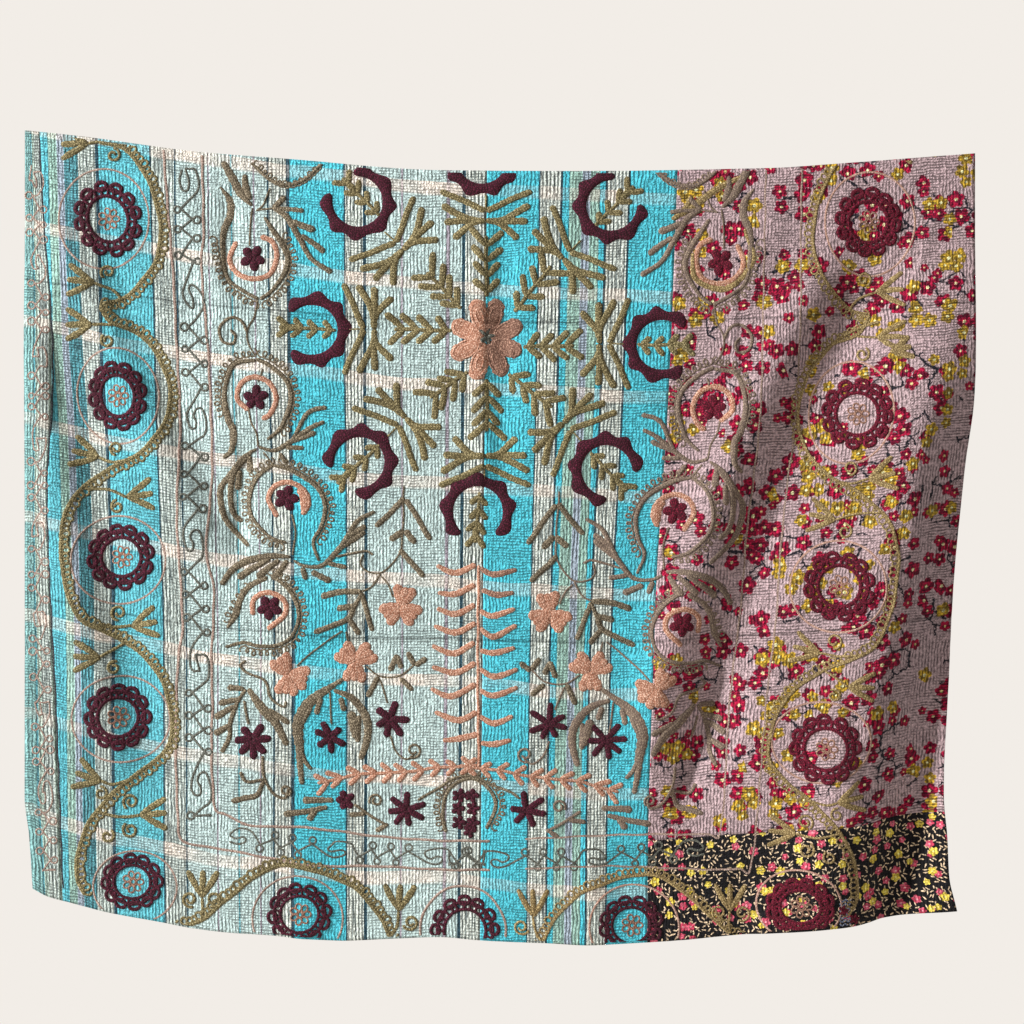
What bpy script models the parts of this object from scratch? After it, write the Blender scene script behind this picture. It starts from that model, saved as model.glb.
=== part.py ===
"""Embroidered quilt hung by its top edge: five cloth panels joined side by side.

Metres, +Z up. The front faces -Y, and the origin is the middle of the held top
edge. The tables below are in millimetres, across to the right and up from the
origin, as seen from the front.
"""

from collections import namedtuple

import bmesh
import bpy
import numpy as np

MM = 0.001

# Cloth
CLOTH_THICK = 2.5
TURNED_THICK = 5.6  # where the top edge is turned over to the back
TOP_FOLD_THICK = 3.6  # at the very top, where the turned edge is rounded
SEAM_GAP = 0.3
CELL = 38.0  # grid spacing along the cloth

# Rows of the grid, down from the top edge
TURNED_ROWS = (12.0, 50.0)  # upper and lower limit of the full turned thickness
TURNED_END = 62.0
DROP = 1740.0  # mean height of the cloth
BLACK_TOP = 0.868  # share of the drop at which the black panel starts

# Broad shape in depth
HALF_WIDTH = 1080.0
BELLY = 14.0  # how far the middle of the cloth stands forward of its rim
BELLY_REACH = 0.8  # half turns of a sine wave from the top edge to the lower edge
HEM_SWAY = 7.0  # slow waves of the free lower edge
SWAY_LENGTH = 610.0
SWAY_START = 0.9  # radians

Edge = namedtuple("Edge", "across height")
Side = namedtuple("Side", "down across")
Fold = namedtuple("Fold", "x0 z0 x1 z1 x2 z2 half_width rise")
Panel = namedtuple("Panel", "name left right lower color roughness")

# Sagging top edge, held at its two corners
TOP_EDGE = (
    Edge(-1069, 92),
    Edge(-940, 78),
    Edge(-675, 43),
    Edge(-472, 27),
    Edge(-135, 2),
    Edge(169, 0),
    Edge(608, 7),
    Edge(776, 18),
    Edge(1069, 40),
)

# Free lower edge, uneven from the quilting
LOWER_EDGE = (
    Edge(-1051, -1614),
    Edge(-1018, -1632),
    Edge(-968, -1646),
    Edge(-878, -1670),
    Edge(-752, -1692),
    Edge(-698, -1702),
    Edge(-608, -1712),
    Edge(-508, -1718),
    Edge(-439, -1726),
    Edge(-346, -1731),
    Edge(-238, -1727),
    Edge(-130, -1723),
    Edge(-50, -1729),
    Edge(101, -1735),
    Edge(202, -1740),
    Edge(304, -1737),
    Edge(405, -1731),
    Edge(500, -1721),
    Edge(641, -1711),
    Edge(745, -1702),
    Edge(790, -1699),
    Edge(868, -1686),
    Edge(950, -1675),
    Edge(1030, -1667),
)

# Side edges and seams, by the share of the drop
LEFT_EDGE = (Side(0.0, -1069), Side(0.88, -1069), Side(0.93, -1059), Side(1.0, -1051))
STRIP_SEAM = (
    Side(0.0, -1036),
    Side(0.12, -1024),
    Side(0.25, -1007),
    Side(0.36, -1007),
    Side(0.47, -1016),
    Side(0.6, -1011),
    Side(0.74, -1000),
    Side(1.0, -984),
)
CENTRE_SEAM = (Side(0.0, -29), Side(1.0, -45))
MAUVE_SEAM = (
    Side(0.0, 400),
    Side(0.3, 378),
    Side(0.56, 349),
    Side(0.87, 333),
    Side(1.0, 331),
)
RIGHT_EDGE = (
    Side(0.0, 1069),
    Side(0.32, 1069),
    Side(0.42, 1054),
    Side(0.56, 1031),
    Side(0.69, 1018),
    Side(0.85, 1003),
    Side(0.9, 1009),
    Side(0.95, 1012),
    Side(1.0, 1030),
)

# Main folds: each runs along a curve from (x0, z0) to (x2, z2), drawn towards
# (x1, z1). A positive rise stands forward, a negative one is a trough.
FOLDS = (
    # slanting from the upper right corner across the mauve panel
    Fold(805, -80, 452, -620, 290, -1480, 60, 24),
    Fold(895, -120, 606, -670, 400, -1620, 68, -27),
    Fold(1075, -130, 805, -900, 690, -1950, 84, 32),
    Fold(1100, -420, 1025, -1000, 840, -1950, 72, -52),
    Fold(640, -30, 560, -250, 470, -480, 48, 8),
    # slanting from the upper left corner
    Fold(-1075, -130, -995, -800, -815, -1480, 62, 17),
    Fold(-985, -330, -905, -900, -745, -1500, 58, -16),
    Fold(-1030, -60, -800, -480, -610, -980, 58, 17),
    Fold(-960, -120, -720, -520, -545, -960, 52, -17),
    Fold(-760, 10, -640, -180, -610, -420, 40, 7),
    # storage creases: one down the middle, two across
    Fold(-48, -20, -44, -400, -40, -800, 26, 7),
    Fold(4, -20, 8, -400, 6, -800, 30, -7),
    Fold(-600, -352, -150, -366, 330, -356, 24, -6),
    Fold(-600, -1062, 80, -1096, 760, -1076, 26, -6),
    # short folds at the lower edge
    Fold(-440, -1480, -445, -1620, -440, -1760, 44, 8),
    Fold(202, -1500, 206, -1640, 202, -1770, 46, 8),
    Fold(540, -1560, 545, -1660, 552, -1760, 34, -9),
)
FOLD_STEPS = 24
FADE = 0.22  # share of a fold's length over which it rises at each end

SHARP_ANGLE = 50.0  # degrees between faces, past which an edge is shaded sharp


def smooth_curve(table, at):
    """Reads a table's second column at places of its first, along a curve that never
    swings past its points."""
    places, values = np.array(table, float).T
    rises = np.diff(values) / np.diff(places)
    product = rises[:-1] * rises[1:]
    total = np.where(product > 0, rises[:-1] + rises[1:], 1.0)
    inner = np.where(product > 0, 2 * product / total, 0.0)
    slopes = np.concatenate([rises[:1], inner, rises[-1:]])
    at = np.clip(at, places[0], places[-1])
    i = np.clip(np.searchsorted(places, at) - 1, 0, len(places) - 2)
    width = places[i + 1] - places[i]
    t = (at - places[i]) / width
    start = (1 + 2 * t) * (1 - t) ** 2 * values[i] + t * (1 - t) ** 2 * width * slopes[i]
    end = t**2 * (3 - 2 * t) * values[i + 1] + t**2 * (t - 1) * width * slopes[i + 1]
    return start + end


def fold_rise(fold, across, height):
    """How far one fold moves each point forward, in millimetres."""
    t = np.linspace(0, 1, FOLD_STEPS + 1)[:, None]
    start = np.array([fold.x0, fold.z0])
    bend = np.array([fold.x1, fold.z1])
    end = np.array([fold.x2, fold.z2])
    path = (1 - t) ** 2 * start + 2 * t * (1 - t) * bend + t**2 * end
    steps = path[1:] - path[:-1]
    offset = np.stack([across, height], -1)[:, None, :] - path[None, :-1]
    along = np.clip((offset * steps).sum(-1) / (steps**2).sum(-1), 0, 1)
    gap = np.linalg.norm(offset - along[..., None] * steps, axis=-1)
    nearest = gap.argmin(1)
    rows = np.arange(len(across))
    share = (nearest + along[rows, nearest]) / FOLD_STEPS
    ends = np.clip(np.minimum(share, 1 - share) / FADE, 0, 1)
    ends = ends * ends * (3 - 2 * ends)
    return fold.rise * ends * np.exp(-((gap[rows, nearest] / fold.half_width) ** 2))


def forward(across, height):
    """How far the cloth's face stands forward at each point, in millimetres."""
    down = np.clip(-height / DROP, 0, 1)
    side = np.clip(1 - (across / HALF_WIDTH) ** 2, 0, 1)
    rise = BELLY * side * np.sin(np.pi * BELLY_REACH * down)
    sway = np.sin(2 * np.pi * across / SWAY_LENGTH + SWAY_START)
    rise = rise + HEM_SWAY * down**2 * sway
    for fold in FOLDS:
        rise = rise + fold_rise(fold, across, height)
    return rise


def row_places():
    """Each grid row's share of the drop, from the top edge down."""
    turned = [0.0] + [row / DROP for row in TURNED_ROWS] + [TURNED_END / DROP]
    upper = round((BLACK_TOP - turned[-1]) * DROP / CELL)
    lower = round((1 - BLACK_TOP) * DROP / CELL)
    return np.concatenate(
        [
            turned[:-1],
            np.linspace(turned[-1], BLACK_TOP, upper + 1)[:-1],
            np.linspace(BLACK_TOP, 1, lower + 1),
        ]
    )


def thickness(down):
    """The cloth's thickness at each share of the drop, in millimetres."""
    places = [0.0] + [row / DROP for row in TURNED_ROWS] + [TURNED_END / DROP, 1.0]
    return np.interp(
        down, places, [TOP_FOLD_THICK, TURNED_THICK, TURNED_THICK, CLOTH_THICK, CLOTH_THICK]
    )


def make_material(panel):
    """The panel's own plain cloth material."""
    material = bpy.data.materials.new(panel.name)
    material.use_nodes = True
    shader = material.node_tree.nodes["Principled BSDF"]
    shader.inputs["Base Color"].default_value = (*panel.color, 1)
    shader.inputs["Roughness"].default_value = panel.roughness
    shader.inputs["Metallic"].default_value = 0.0
    return material


def make_panel(panel, rows, collection):
    """One cloth panel: a grid laid on the hung shape and given its thickness."""
    left_gap = SEAM_GAP / 2 if panel.left is not LEFT_EDGE else 0.0
    right_gap = SEAM_GAP / 2 if panel.right is not RIGHT_EDGE else 0.0
    left_side = smooth_curve(panel.left, rows) + left_gap
    right_side = smooth_curve(panel.right, rows) - right_gap
    wide = max(2, round((right_side - left_side).mean() / CELL))

    bm = bmesh.new()
    bmesh.ops.create_grid(bm, x_segments=wide, y_segments=len(rows) - 1, size=0.5)
    bm.verts.ensure_lookup_table()
    share = np.array([v.co.x + 0.5 for v in bm.verts])
    row = np.array([round((0.5 - v.co.y) * (len(rows) - 1)) for v in bm.verts])

    across = left_side[row] * (1 - share) + right_side[row] * share
    top = smooth_curve(TOP_EDGE, across)
    bottom = smooth_curve(LOWER_EDGE, across)
    height = top + (bottom - top) * rows[row]
    if rows[0] > 0:
        height[row == 0] -= SEAM_GAP / 2
    if rows[-1] < 1:
        height[row == len(rows) - 1] += SEAM_GAP / 2
    depth = -forward(across, height)
    thick_at = bm.verts.layers.float.new("thickness")
    for v, x, y, z, thick in zip(bm.verts, across, depth, height, thickness(rows)[row]):
        v.co = (x * MM, y * MM, z * MM)
        v[thick_at] = thick * MM

    backing = bmesh.ops.extrude_face_region(bm, geom=bm.faces[:])["geom"]
    for item in backing:
        if isinstance(item, bmesh.types.BMVert):
            item.co.y += item[thick_at]
    bm.verts.layers.float.remove(thick_at)
    bmesh.ops.recalc_face_normals(bm, faces=bm.faces[:])

    mesh = bpy.data.meshes.new(panel.name)
    bm.to_mesh(mesh)
    bm.free()
    mesh.shade_smooth()
    mesh.set_sharp_from_angle(angle=np.radians(SHARP_ANGLE))
    mesh.materials.append(make_material(panel))
    collection.objects.link(bpy.data.objects.new(panel.name, mesh))


def main():
    """Builds the five panels."""
    for old in list(bpy.data.objects):
        bpy.data.objects.remove(old, do_unlink=True)
    collection = bpy.data.collections.new("hanging_quilt")
    bpy.context.scene.collection.children.link(collection)

    rows = row_places()
    black_row = int(np.argmin(np.abs(rows - BLACK_TOP)))
    panels = (
        Panel("left_strip", LEFT_EDGE, STRIP_SEAM, None, (0.21, 0.47, 0.50), 0.9),
        Panel("striped_left_half", STRIP_SEAM, CENTRE_SEAM, None, (0.31, 0.58, 0.58), 0.9),
        Panel("striped_right_half", CENTRE_SEAM, MAUVE_SEAM, None, (0.14, 0.55, 0.65), 0.9),
        Panel("mauve_panel", MAUVE_SEAM, RIGHT_EDGE, False, (0.35, 0.19, 0.21), 0.88),
        Panel("black_panel", MAUVE_SEAM, RIGHT_EDGE, True, (0.03, 0.028, 0.03), 0.88),
    )
    for panel in panels:
        own_rows = rows
        if panel.lower is not None:
            own_rows = rows[black_row:] if panel.lower else rows[: black_row + 1]
        make_panel(panel, own_rows, collection)


main()
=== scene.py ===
"""An old striped and printed quilt with chain-stitch embroidery, hung by its top edge."""

import logging
from collections.abc import Sequence
from dataclasses import dataclass
from enum import Enum
from math import atan, cos, pi, radians, sin, tan

import bmesh
import bpy
import numpy as np
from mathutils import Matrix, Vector


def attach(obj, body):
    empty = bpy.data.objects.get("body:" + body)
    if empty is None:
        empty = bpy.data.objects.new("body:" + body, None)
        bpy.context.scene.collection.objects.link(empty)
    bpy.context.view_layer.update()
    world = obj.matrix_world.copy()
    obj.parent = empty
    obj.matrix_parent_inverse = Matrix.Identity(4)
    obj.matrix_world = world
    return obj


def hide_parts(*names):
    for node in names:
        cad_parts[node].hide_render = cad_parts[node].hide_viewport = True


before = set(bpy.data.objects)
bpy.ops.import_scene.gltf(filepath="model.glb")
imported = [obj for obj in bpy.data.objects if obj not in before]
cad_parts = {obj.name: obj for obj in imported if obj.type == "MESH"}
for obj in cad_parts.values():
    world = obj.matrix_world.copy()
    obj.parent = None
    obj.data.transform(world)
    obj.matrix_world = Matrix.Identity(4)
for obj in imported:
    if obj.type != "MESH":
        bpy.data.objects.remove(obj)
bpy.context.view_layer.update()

log = logging.getLogger("hanging_quilt")

Socket = bpy.types.NodeSocket
Value = Socket | float | str | tuple | np.ndarray

MM = 0.001
PIXEL = 2.25 * MM  # one pixel of the photograph, on the cloth
ORIGIN_X = 500.0  # the middle of the top edge, in the photograph's pixels
ORIGIN_Y = 171.0
PHOTO_MIDDLE = 512.0
PHOTO_SIDE = 1024.0

CLOTH_THICK = 2.5 * MM
SEAM_GAP = 0.3 * MM
DROP = 1740 * MM  # mean height of the cloth
BLACK_TOP = 0.868  # share of the drop at which the black panel starts
TURNED = (0.002, 0.031)  # shares of the drop at which the edge turned to the back starts and ends


def px(x: float | np.ndarray, y: float | np.ndarray) -> np.ndarray:
    """Turns a place in the photograph into metres across and up the cloth.

    Args:
        x: Pixels from the photograph's left side.
        y: Pixels from its top.

    Returns:
        The place as (across, height).
    """
    return np.array([(x - ORIGIN_X) * PIXEL, (ORIGIN_Y - y) * PIXEL])


def linear(code: str) -> tuple[float, float, float, float]:
    """Turns an sRGB colour code into the linear colour that shaders take.

    Args:
        code: Six hex digits.

    Returns:
        Red, green, blue and alpha.
    """
    parts = [int(code[i : i + 2], 16) / 255 for i in (0, 2, 4)]
    return (*[c / 12.92 if c <= 0.04045 else ((c + 0.055) / 1.055) ** 2.4 for c in parts], 1.0)


# The hung shape, in millimetres across and up from the middle of the top edge


@dataclass(frozen=True)
class Fold:
    """A soft ridge, or a trough if its rise is negative, along a curve.

    The curve runs from (x0, z0) to (x2, z2), drawn towards (x1, z1).
    """

    x0: float
    z0: float
    x1: float
    z1: float
    x2: float
    z2: float
    half_width: float
    rise: float


TOP_EDGE = (
    (-1069, 92), (-940, 78), (-675, 43), (-472, 27), (-135, 2), (169, 0), (608, 7), (776, 18),
    (1069, 40),
)
LOWER_EDGE = (
    (-1051, -1614), (-1018, -1632), (-968, -1646), (-878, -1670), (-752, -1692), (-698, -1702),
    (-608, -1712), (-508, -1718), (-439, -1726), (-346, -1731), (-238, -1727), (-130, -1723),
    (-50, -1729), (101, -1735), (202, -1740), (304, -1737), (405, -1731), (500, -1721),
    (641, -1711), (745, -1702), (790, -1699), (868, -1686), (950, -1675), (1030, -1667),
)
# Side edges and seams: share of the drop, then millimetres across
LEFT_EDGE = ((0.0, -1069), (0.88, -1069), (0.93, -1059), (1.0, -1051))
STRIP_SEAM = (
    (0.0, -1036), (0.12, -1024), (0.25, -1007), (0.36, -1007), (0.47, -1016), (0.6, -1011),
    (0.74, -1000), (1.0, -984),
)
CENTRE_SEAM = ((0.0, -29), (1.0, -45))
MAUVE_SEAM = ((0.0, 400), (0.3, 378), (0.56, 349), (0.87, 333), (1.0, 331))
RIGHT_EDGE = (
    (0.0, 1069), (0.32, 1069), (0.42, 1054), (0.56, 1031), (0.69, 1018), (0.85, 1003), (0.9, 1009),
    (0.95, 1012), (1.0, 1030),
)
FOLDS = tuple(
    Fold(*row) for row in (
        (805, -80, 452, -620, 290, -1480, 60, 24), (895, -120, 606, -670, 400, -1620, 68, -27),
        (1075, -130, 805, -900, 690, -1950, 84, 32), (1100, -420, 1025, -1000, 840, -1950, 72, -52),
        (640, -30, 560, -250, 470, -480, 48, 8), (-1075, -130, -995, -800, -815, -1480, 62, 17),
        (-985, -330, -905, -900, -745, -1500, 58, -16),
        (-1030, -60, -800, -480, -610, -980, 58, 17), (-960, -120, -720, -520, -545, -960, 52, -17),
        (-760, 10, -640, -180, -610, -420, 40, 7), (-48, -20, -44, -400, -40, -800, 26, 7),
        (4, -20, 8, -400, 6, -800, 30, -7), (-600, -352, -150, -366, 330, -356, 24, -6),
        (-600, -1062, 80, -1096, 760, -1076, 26, -6),
        (-440, -1480, -445, -1620, -440, -1760, 44, 8), (202, -1500, 206, -1640, 202, -1770, 46, 8),
        (540, -1560, 545, -1660, 552, -1760, 34, -9),
    )
)
# Creases too sharp for the solids: the storage folds, and pulls near the corners
SHARP_FOLDS = tuple(
    Fold(*row) for row in (
        (-590, -336, -150, -346, 320, -338, 5, -2.4), (-590, -1056, 80, -1066, 740, -1060, 5, -2.4),
        (-27, -20, -26, -420, -34, -900, 6, -2.4), (526, -120, 522, -560, 532, -1040, 7, 2.0),
        (541, -120, 538, -560, 547, -1040, 6, -2.2), (-628, 30, -620, -120, -618, -290, 6, -2.2),
        (-980, 40, -900, -220, -840, -470, 9, 2.4), (-930, 40, -850, -220, -800, -470, 9, -2.4),
        (1010, 10, 950, -200, 880, -420, 10, 2.4), (960, 10, 900, -200, 820, -420, 10, -2.4),
        (760, -420, 640, -760, 560, -1100, 12, 3.0), (900, -900, 860, -1200, 760, -1450, 12, 2.8),
        (1005, -720, 955, -950, 880, -1210, 24, -7), (950, -740, 900, -960, 830, -1200, 24, 5),
        (505, -1080, 475, -1250, 390, -1460, 23, -13), (568, -600, 540, -760, 515, -960, 20, -5),
        (-566, -610, -584, -740, -590, -880, 20, -10), (-606, -20, -608, -150, -600, -290, 18, -6),
        (-1000, -340, -990, -470, -985, -620, 20, -6), (775, -1130, 795, -1260, 812, -1430, 22, -6),
        (866, -1380, 866, -1560, 860, -1730, 20, -7), (828, -1400, 828, -1560, 822, -1730, 20, 5),
    )
)
# Share of the drop, then millimetres by which the left width's stripes lie left of an even spread
STRIPE_SWAY = (
    (0.0, 11), (0.12, 16), (0.25, 25), (0.36, 15), (0.47, -3), (0.6, -8), (0.74, 1), (0.9, 9),
    (1.0, 11),
)
NO_SWAY = ((0.0, 0), (1.0, 0))


@dataclass
class HungShape:
    """The surface that the cloth takes as it hangs, as a height in front of a plane.

    The tables and folds repeat those of the solids; the sharp folds and the
    crinkle of the quilting are added here.
    """

    half_width: float = 1080.0
    belly: float = 14.0  # how far the middle hangs forward
    belly_reach: float = 0.8  # half waves from the top edge to the hem
    hem_sway: float = 7.0  # of the free hem, back and forth
    sway_length: float = 610.0
    sway_start: float = 0.9  # radians
    fold_steps: int = 24
    fade: float = 0.22  # share of a fold's length over which it rises at each end
    crinkle_rise: float = 1.15
    crinkle_across: float = 21.0
    crinkle_down: float = 13.0
    crinkle_seed: int = 7

    def __post_init__(self) -> None:
        """Draws the seeded lattice that the crinkle is read from."""
        self.lattice = np.random.default_rng(self.crinkle_seed).uniform(-1, 1, (173, 211))

    @staticmethod
    def edge(table: tuple, at: np.ndarray) -> np.ndarray:
        """Reads an edge table along a curve that never swings past its points.

        Args:
            table: Rows of a place and a value.
            at: Places to read.

        Returns:
            The values there.
        """
        places, values = np.array(table, float).T
        rises = np.diff(values) / np.diff(places)
        product = rises[:-1] * rises[1:]
        total = np.where(product > 0, rises[:-1] + rises[1:], 1.0)
        inner = np.where(product > 0, 2 * product / total, 0.0)
        slopes = np.concatenate([rises[:1], inner, rises[-1:]])
        at = np.clip(at, places[0], places[-1])
        i = np.clip(np.searchsorted(places, at) - 1, 0, len(places) - 2)
        width = places[i + 1] - places[i]
        t = (at - places[i]) / width
        start = (1 + 2 * t) * (1 - t) ** 2 * values[i] + t * (1 - t) ** 2 * width * slopes[i]
        end = t**2 * (3 - 2 * t) * values[i + 1] + t**2 * (t - 1) * width * slopes[i + 1]
        return start + end

    def fold_rise(self, fold: Fold, across: np.ndarray, height: np.ndarray) -> np.ndarray:
        """How far one fold moves each point forward.

        Args:
            fold: The fold.
            across: Millimetres across of each point.
            height: Millimetres up of each point.

        Returns:
            Millimetres forward.
        """
        t = np.linspace(0, 1, self.fold_steps + 1)[:, None]
        start, bend = np.array([fold.x0, fold.z0]), np.array([fold.x1, fold.z1])
        end = np.array([fold.x2, fold.z2])
        path = (1 - t) ** 2 * start + 2 * t * (1 - t) * bend + t**2 * end
        reach = fold.half_width * 3
        low, high = path.min(0) - reach, path.max(0) + reach
        near = (across > low[0]) & (across < high[0]) & (height > low[1]) & (height < high[1])
        rise = np.zeros(len(across))
        if not near.any():
            return rise
        steps = path[1:] - path[:-1]
        points = np.stack([across[near], height[near]], -1)
        offset = points[:, None, :] - path[None, :-1]
        along = np.clip((offset * steps).sum(-1) / (steps**2).sum(-1), 0, 1)
        gap = np.linalg.norm(offset - along[..., None] * steps, axis=-1)
        nearest = gap.argmin(1)
        rows = np.arange(len(points))
        share = (nearest + along[rows, nearest]) / self.fold_steps
        ends = np.clip(np.minimum(share, 1 - share) / self.fade, 0, 1)
        ends = ends * ends * (3 - 2 * ends)
        rise[near] = fold.rise * ends * np.exp(-((gap[rows, nearest] / fold.half_width) ** 2))
        return rise

    def crinkle(self, across: np.ndarray, height: np.ndarray) -> np.ndarray:
        """The uneven puckers between the quilting rows.

        Args:
            across: Millimetres across of each point.
            height: Millimetres up of each point.

        Returns:
            Millimetres forward.
        """
        total = np.zeros(len(across))
        for scale, share in ((1.0, 0.6), (2.7, 0.9)):
            x = across / (self.crinkle_across * scale) + 60 * scale
            z = height / (self.crinkle_down * scale) + 170 * scale
            i, j = np.floor(x).astype(int), np.floor(z).astype(int)
            s, t = x - i, z - j
            s, t = s * s * (3 - 2 * s), t * t * (3 - 2 * t)
            rows, cols = self.lattice.shape
            near = self.lattice[i % rows, j % cols] * (1 - s)
            near = near + self.lattice[(i + 1) % rows, j % cols] * s
            far = self.lattice[i % rows, (j + 1) % cols] * (1 - s)
            far = far + self.lattice[(i + 1) % rows, (j + 1) % cols] * s
            total += share * (near * (1 - t) + far * t)
        return self.crinkle_rise * total

    def forward(self, points: np.ndarray) -> np.ndarray:
        """How far the face of the cloth stands forward at each point.

        Args:
            points: Rows of (across, height) in metres.

        Returns:
            Metres forward.
        """
        across, height = points[:, 0] / MM, points[:, 1] / MM
        down = np.clip(-height / (DROP / MM), 0, 1)
        side = np.clip(1 - (across / self.half_width) ** 2, 0, 1)
        rise = self.belly * side * np.sin(pi * self.belly_reach * down)
        sway = np.sin(2 * pi * across / self.sway_length + self.sway_start)
        rise = rise + self.hem_sway * down**2 * sway + self.crinkle(across, height)
        for fold in FOLDS + SHARP_FOLDS:
            rise = rise + self.fold_rise(fold, across, height)
        return rise * MM

    def hang(
        self, bm: bmesh.types.BMesh, across: np.ndarray, down: np.ndarray, rise: Value
    ) -> None:
        """Moves a mesh onto the hung cloth and turns its faces to the front.

        Args:
            bm: The mesh.
            across: Metres across of each vertex.
            down: Share of the drop of each.
            rise: Metres from the face of the cloth forward to each.
        """
        top, low = (self.edge(table, across / MM) * MM for table in (TOP_EDGE, LOWER_EDGE))
        height = top + (low - top) * down
        depth = self.forward(np.stack([across, height], -1)) + rise
        for v, place in zip(bm.verts, np.stack([across, -depth, height], -1)):
            v.co = place
        bm.normal_update()
        bm.faces.ensure_lookup_table()
        if sum(face.normal.y for face in bm.faces[:FACES_ASKED]) > 0:
            bmesh.ops.reverse_faces(bm, faces=bm.faces[:])


FACES_ASKED = 200  # whose normals say which way a mesh faces
SHAPE = HungShape()


def lay_flat_map(bm: bmesh.types.BMesh, name: str, places: np.ndarray) -> None:
    """Smooths the faces and gives them a UV map.

    Args:
        bm: The mesh.
        name: The map's name.
        places: Each vertex's place on the map, in metres.
    """
    uv = bm.loops.layers.uv.new(name)
    for face in bm.faces:
        face.smooth = True
        for loop in face.loops:
            loop[uv].uv = places[loop.vert.index]


def finished(bm: bmesh.types.BMesh, name: str, *finishes: bpy.types.Material) -> bpy.types.Object:
    """Turns a mesh into an object of the scene.

    Args:
        bm: The mesh, which is freed.
        name: The object's name.
        *finishes: Its materials.

    Returns:
        The object.
    """
    mesh = bpy.data.meshes.new(name)
    bm.to_mesh(mesh)
    bm.free()
    for finish in finishes:
        mesh.materials.append(finish)
    piece = bpy.data.objects.new(name, mesh)
    bpy.context.scene.collection.objects.link(piece)
    return piece


# Finishes


class Shades:
    """The node tree of a material or the world, with one way to add a node."""

    def __init__(self, owner: bpy.types.Material | bpy.types.World) -> None:
        """Empties the tree of its owner.

        Args:
            owner: The material or world.
        """
        self.owner = owner
        owner.use_nodes = True
        self.tree = owner.node_tree
        self.tree.nodes.clear()

    def add(
        self, kind: str, *values: Value, out: int | str = 0, stops: Sequence = (), **named: Value
    ) -> Socket:
        """Adds a node, sets it and links it.

        Args:
            kind: The node's type without the word ShaderNode, then its operation if it has one.
            *values: Values, or output sockets to link, for the inputs that it shows, in order.
            out: The output to return, of those that it shows.
            stops: On a colour ramp, rows of a place and a flat colour with alpha.
            **named: Inputs by name, with _ for a space, and the node's own properties.

        Returns:
            The chosen output socket, or the node if it has none.
        """
        kind, _, operation = kind.partition(" ")
        node = self.tree.nodes.new("ShaderNode" + kind)
        if operation:
            node.operation = operation
        pairs = []
        for key, value in named.items():
            if (label := key.replace("_", " ")) in node.inputs:
                pairs.append((node.inputs[label], value))
            else:
                setattr(node, key, value)
        if stops:
            node.color_ramp.interpolation = "CONSTANT"
            for _ in stops[2:]:
                node.color_ramp.elements.new(1.0)
            for element, (place, colour) in zip(node.color_ramp.elements, stops):
                element.position, element.color = place, colour
        for socket, value in pairs + list(zip([s for s in node.inputs if s.enabled], values)):
            if isinstance(value, Socket):
                self.tree.links.new(value, socket)
            else:
                socket.default_value = value
        shown = [socket for socket in node.outputs if socket.enabled]
        return node.outputs[out] if isinstance(out, str) else shown[out] if shown else node


NAP_ROUGHNESS = 0.5
FIBRE_SPECULAR = 0.2  # worn fibres reflect little


def fabric(
    tree: Shades, colour: Socket, height: Socket, roughness: float, depth: float, sheen: float
) -> bpy.types.Material:
    """Closes a cloth or thread material with its shader.

    Args:
        tree: The material.
        colour: The colour socket.
        height: The socket of the surface's small relief, from 0 to 1.
        roughness: Principled roughness.
        depth: The relief's real height in metres.
        sheen: Weight of the soft nap's sheen.

    Returns:
        The finished material.
    """
    bump = tree.add("Bump", Height=height, Strength=1.0, Distance=depth)
    shader = tree.add(
        "BsdfPrincipled", Base_Color=colour, Roughness=roughness, Normal=bump, Sheen_Weight=sheen,
        Sheen_Roughness=NAP_ROUGHNESS, Specular_IOR_Level=FIBRE_SPECULAR,
    )
    tree.add("OutputMaterial", Surface=shader)
    return tree.owner


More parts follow.
